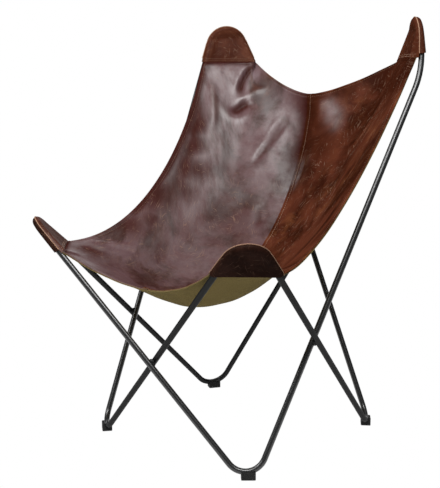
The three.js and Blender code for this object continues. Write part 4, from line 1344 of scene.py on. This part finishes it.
for place, face in cap_faces.items():
    columns = face[:, CAP_EDGE_COLUMNS:-CAP_EDGE_COLUMNS].swapaxes(0, 1)
    inward = np.broadcast_to(ears[place].inward, (len(columns), 3))
    rows = [(line_at(columns, lengths_along(columns, 1), reach), inward) for reach in BASE_ROWS]
    # The back right pocket gets the brown thread as painted shade, since its rows lie in shade; the
    # others get the pale one
    sew("stitching_pocket_" + place, rows, brown_linen if place == "back_right" else pale_linen)


# Studio
# A white paper sweep under and behind the chair, three softboxes in a row in front of it and above, a
# weak one overhead and an even fill. The camera looks at the chair from the photograph's angle.
FLOOR_HALF = 1.7
FLOOR_FRONT = 1.6
SWEEP_RADIUS = 1.2
SWEEP_STEPS = 24
WALL_HEIGHT = 3.0
BEHIND = 3.4
PAPER = (0.8, 0.8, 0.79, 1)
FILL = 0.13
CAMERA_PLACE = Vector((1.264848, -1.573987, 0.738276))
CAMERA_YAW = math.radians(-39.758)
CAMERA_PITCH = math.radians(9.386)
FOCAL_PIXELS = 963.635
IMAGE_HEIGHT = 488
CENTRE_RIGHT = -0.54
CENTRE_DOWN = 1.14
SENSOR = 36.0

ahead = Vector((math.sin(CAMERA_YAW), math.cos(CAMERA_YAW), 0))
rightward = Vector((math.cos(CAMERA_YAW), -math.sin(CAMERA_YAW), 0))
forward = ahead * math.cos(CAMERA_PITCH) + Vector((0, 0, -math.sin(CAMERA_PITCH)))
downward = forward.cross(rightward)
aim = forward * FOCAL_PIXELS + rightward * CENTRE_RIGHT + downward * CENTRE_DOWN
bpy.ops.object.camera_add(location=CAMERA_PLACE, rotation=aim.to_track_quat("-Z", "Y").to_euler())
camera = bpy.context.object
camera.data.sensor_width = SENSOR
camera.data.lens = SENSOR * FOCAL_PIXELS / IMAGE_HEIGHT
bpy.context.scene.camera = camera

profile = [(-FLOOR_FRONT, 0.0), (BEHIND - SWEEP_RADIUS, 0.0)]
for angle in np.linspace(0, math.pi / 2, SWEEP_STEPS)[1:]:
    profile.append((BEHIND - SWEEP_RADIUS * (1 - math.sin(angle)), SWEEP_RADIUS * (1 - math.cos(angle))))
profile.append((BEHIND, WALL_HEIGHT))
sweep = bpy.data.meshes.new("floor_sweep")
edges = [ahead * back + rightward * side + Vector((0, 0, up))
         for back, up in profile for side in (-FLOOR_HALF, FLOOR_HALF)]
sweep.from_pydata(edges, [], [(2 * i, 2 * i + 1, 2 * i + 3, 2 * i + 2) for i in range(len(profile) - 1)])
floor = new_piece("floor_sweep", sweep)
select_only(floor)
bpy.ops.object.shade_smooth()

# The paper looks evenly white, straight or in a reflection, and sends on light like plain paper
paper, tree, *_ = new_material("white_paper", Roughness=0.9, Specular_IOR_Level=0.1, Base_Color=PAPER)
ray = add_node(tree, "ShaderNodeLightPath").outputs
seen = maths(tree, "MAXIMUM", ray["Is Camera Ray"], ray["Is Glossy Ray"])
seen = maths(tree, "MAXIMUM", seen, ray["Is Transmission Ray"])
glow = add_node(tree, "ShaderNodeEmission", {"Color": (1, 1, 1, 1), "Strength": 1.0}).outputs["Emission"]
plain = tree.nodes["Principled BSDF"].outputs["BSDF"]
white = add_node(tree, "ShaderNodeMixShader", {0: seen, 1: plain, 2: glow}).outputs["Shader"]
tree.links.new(white, tree.nodes["Material Output"].inputs["Surface"])
floor.data.materials.append(paper)

LIT_PLACE = Vector((-0.05, 0.10, 0.60))
LAMP_DISTANCE = 2.2


def softbox(name, bearing, height, size, power):
    """A soft lamp turned to the chair, by its height and its bearing to the sitter's left."""
    bearing, height = math.radians(bearing), math.radians(height)
    level = Vector((math.sin(bearing), -math.cos(bearing), 0))
    towards = level * math.cos(height) + Vector((0, 0, math.sin(height)))
    bpy.ops.object.light_add(type="AREA", location=LIT_PLACE + towards * LAMP_DISTANCE)
    lamp = bpy.context.object
    lamp.name = name
    lamp.rotation_euler = towards.to_track_quat("Z", "Y").to_euler()
    lamp.data.shape = "RECTANGLE"
    lamp.data.size, lamp.data.size_y = size
    lamp.data.energy = power


softbox("key_left", bearing=44, height=52, size=(1.35, 0.62), power=36)
softbox("key_middle", bearing=6, height=44, size=(1.35, 0.70), power=13)
softbox("key_right", bearing=-34, height=36, size=(1.1, 0.8), power=21)
softbox("overhead", bearing=160, height=78, size=(1.5, 1.5), power=6)
world = bpy.data.worlds.new("studio")
bpy.context.scene.world = world
world.use_nodes = True
world.node_tree.nodes["Background"].inputs["Color"].default_value = (FILL, FILL, FILL, 1)
bpy.context.scene.view_settings.view_transform = "Standard"
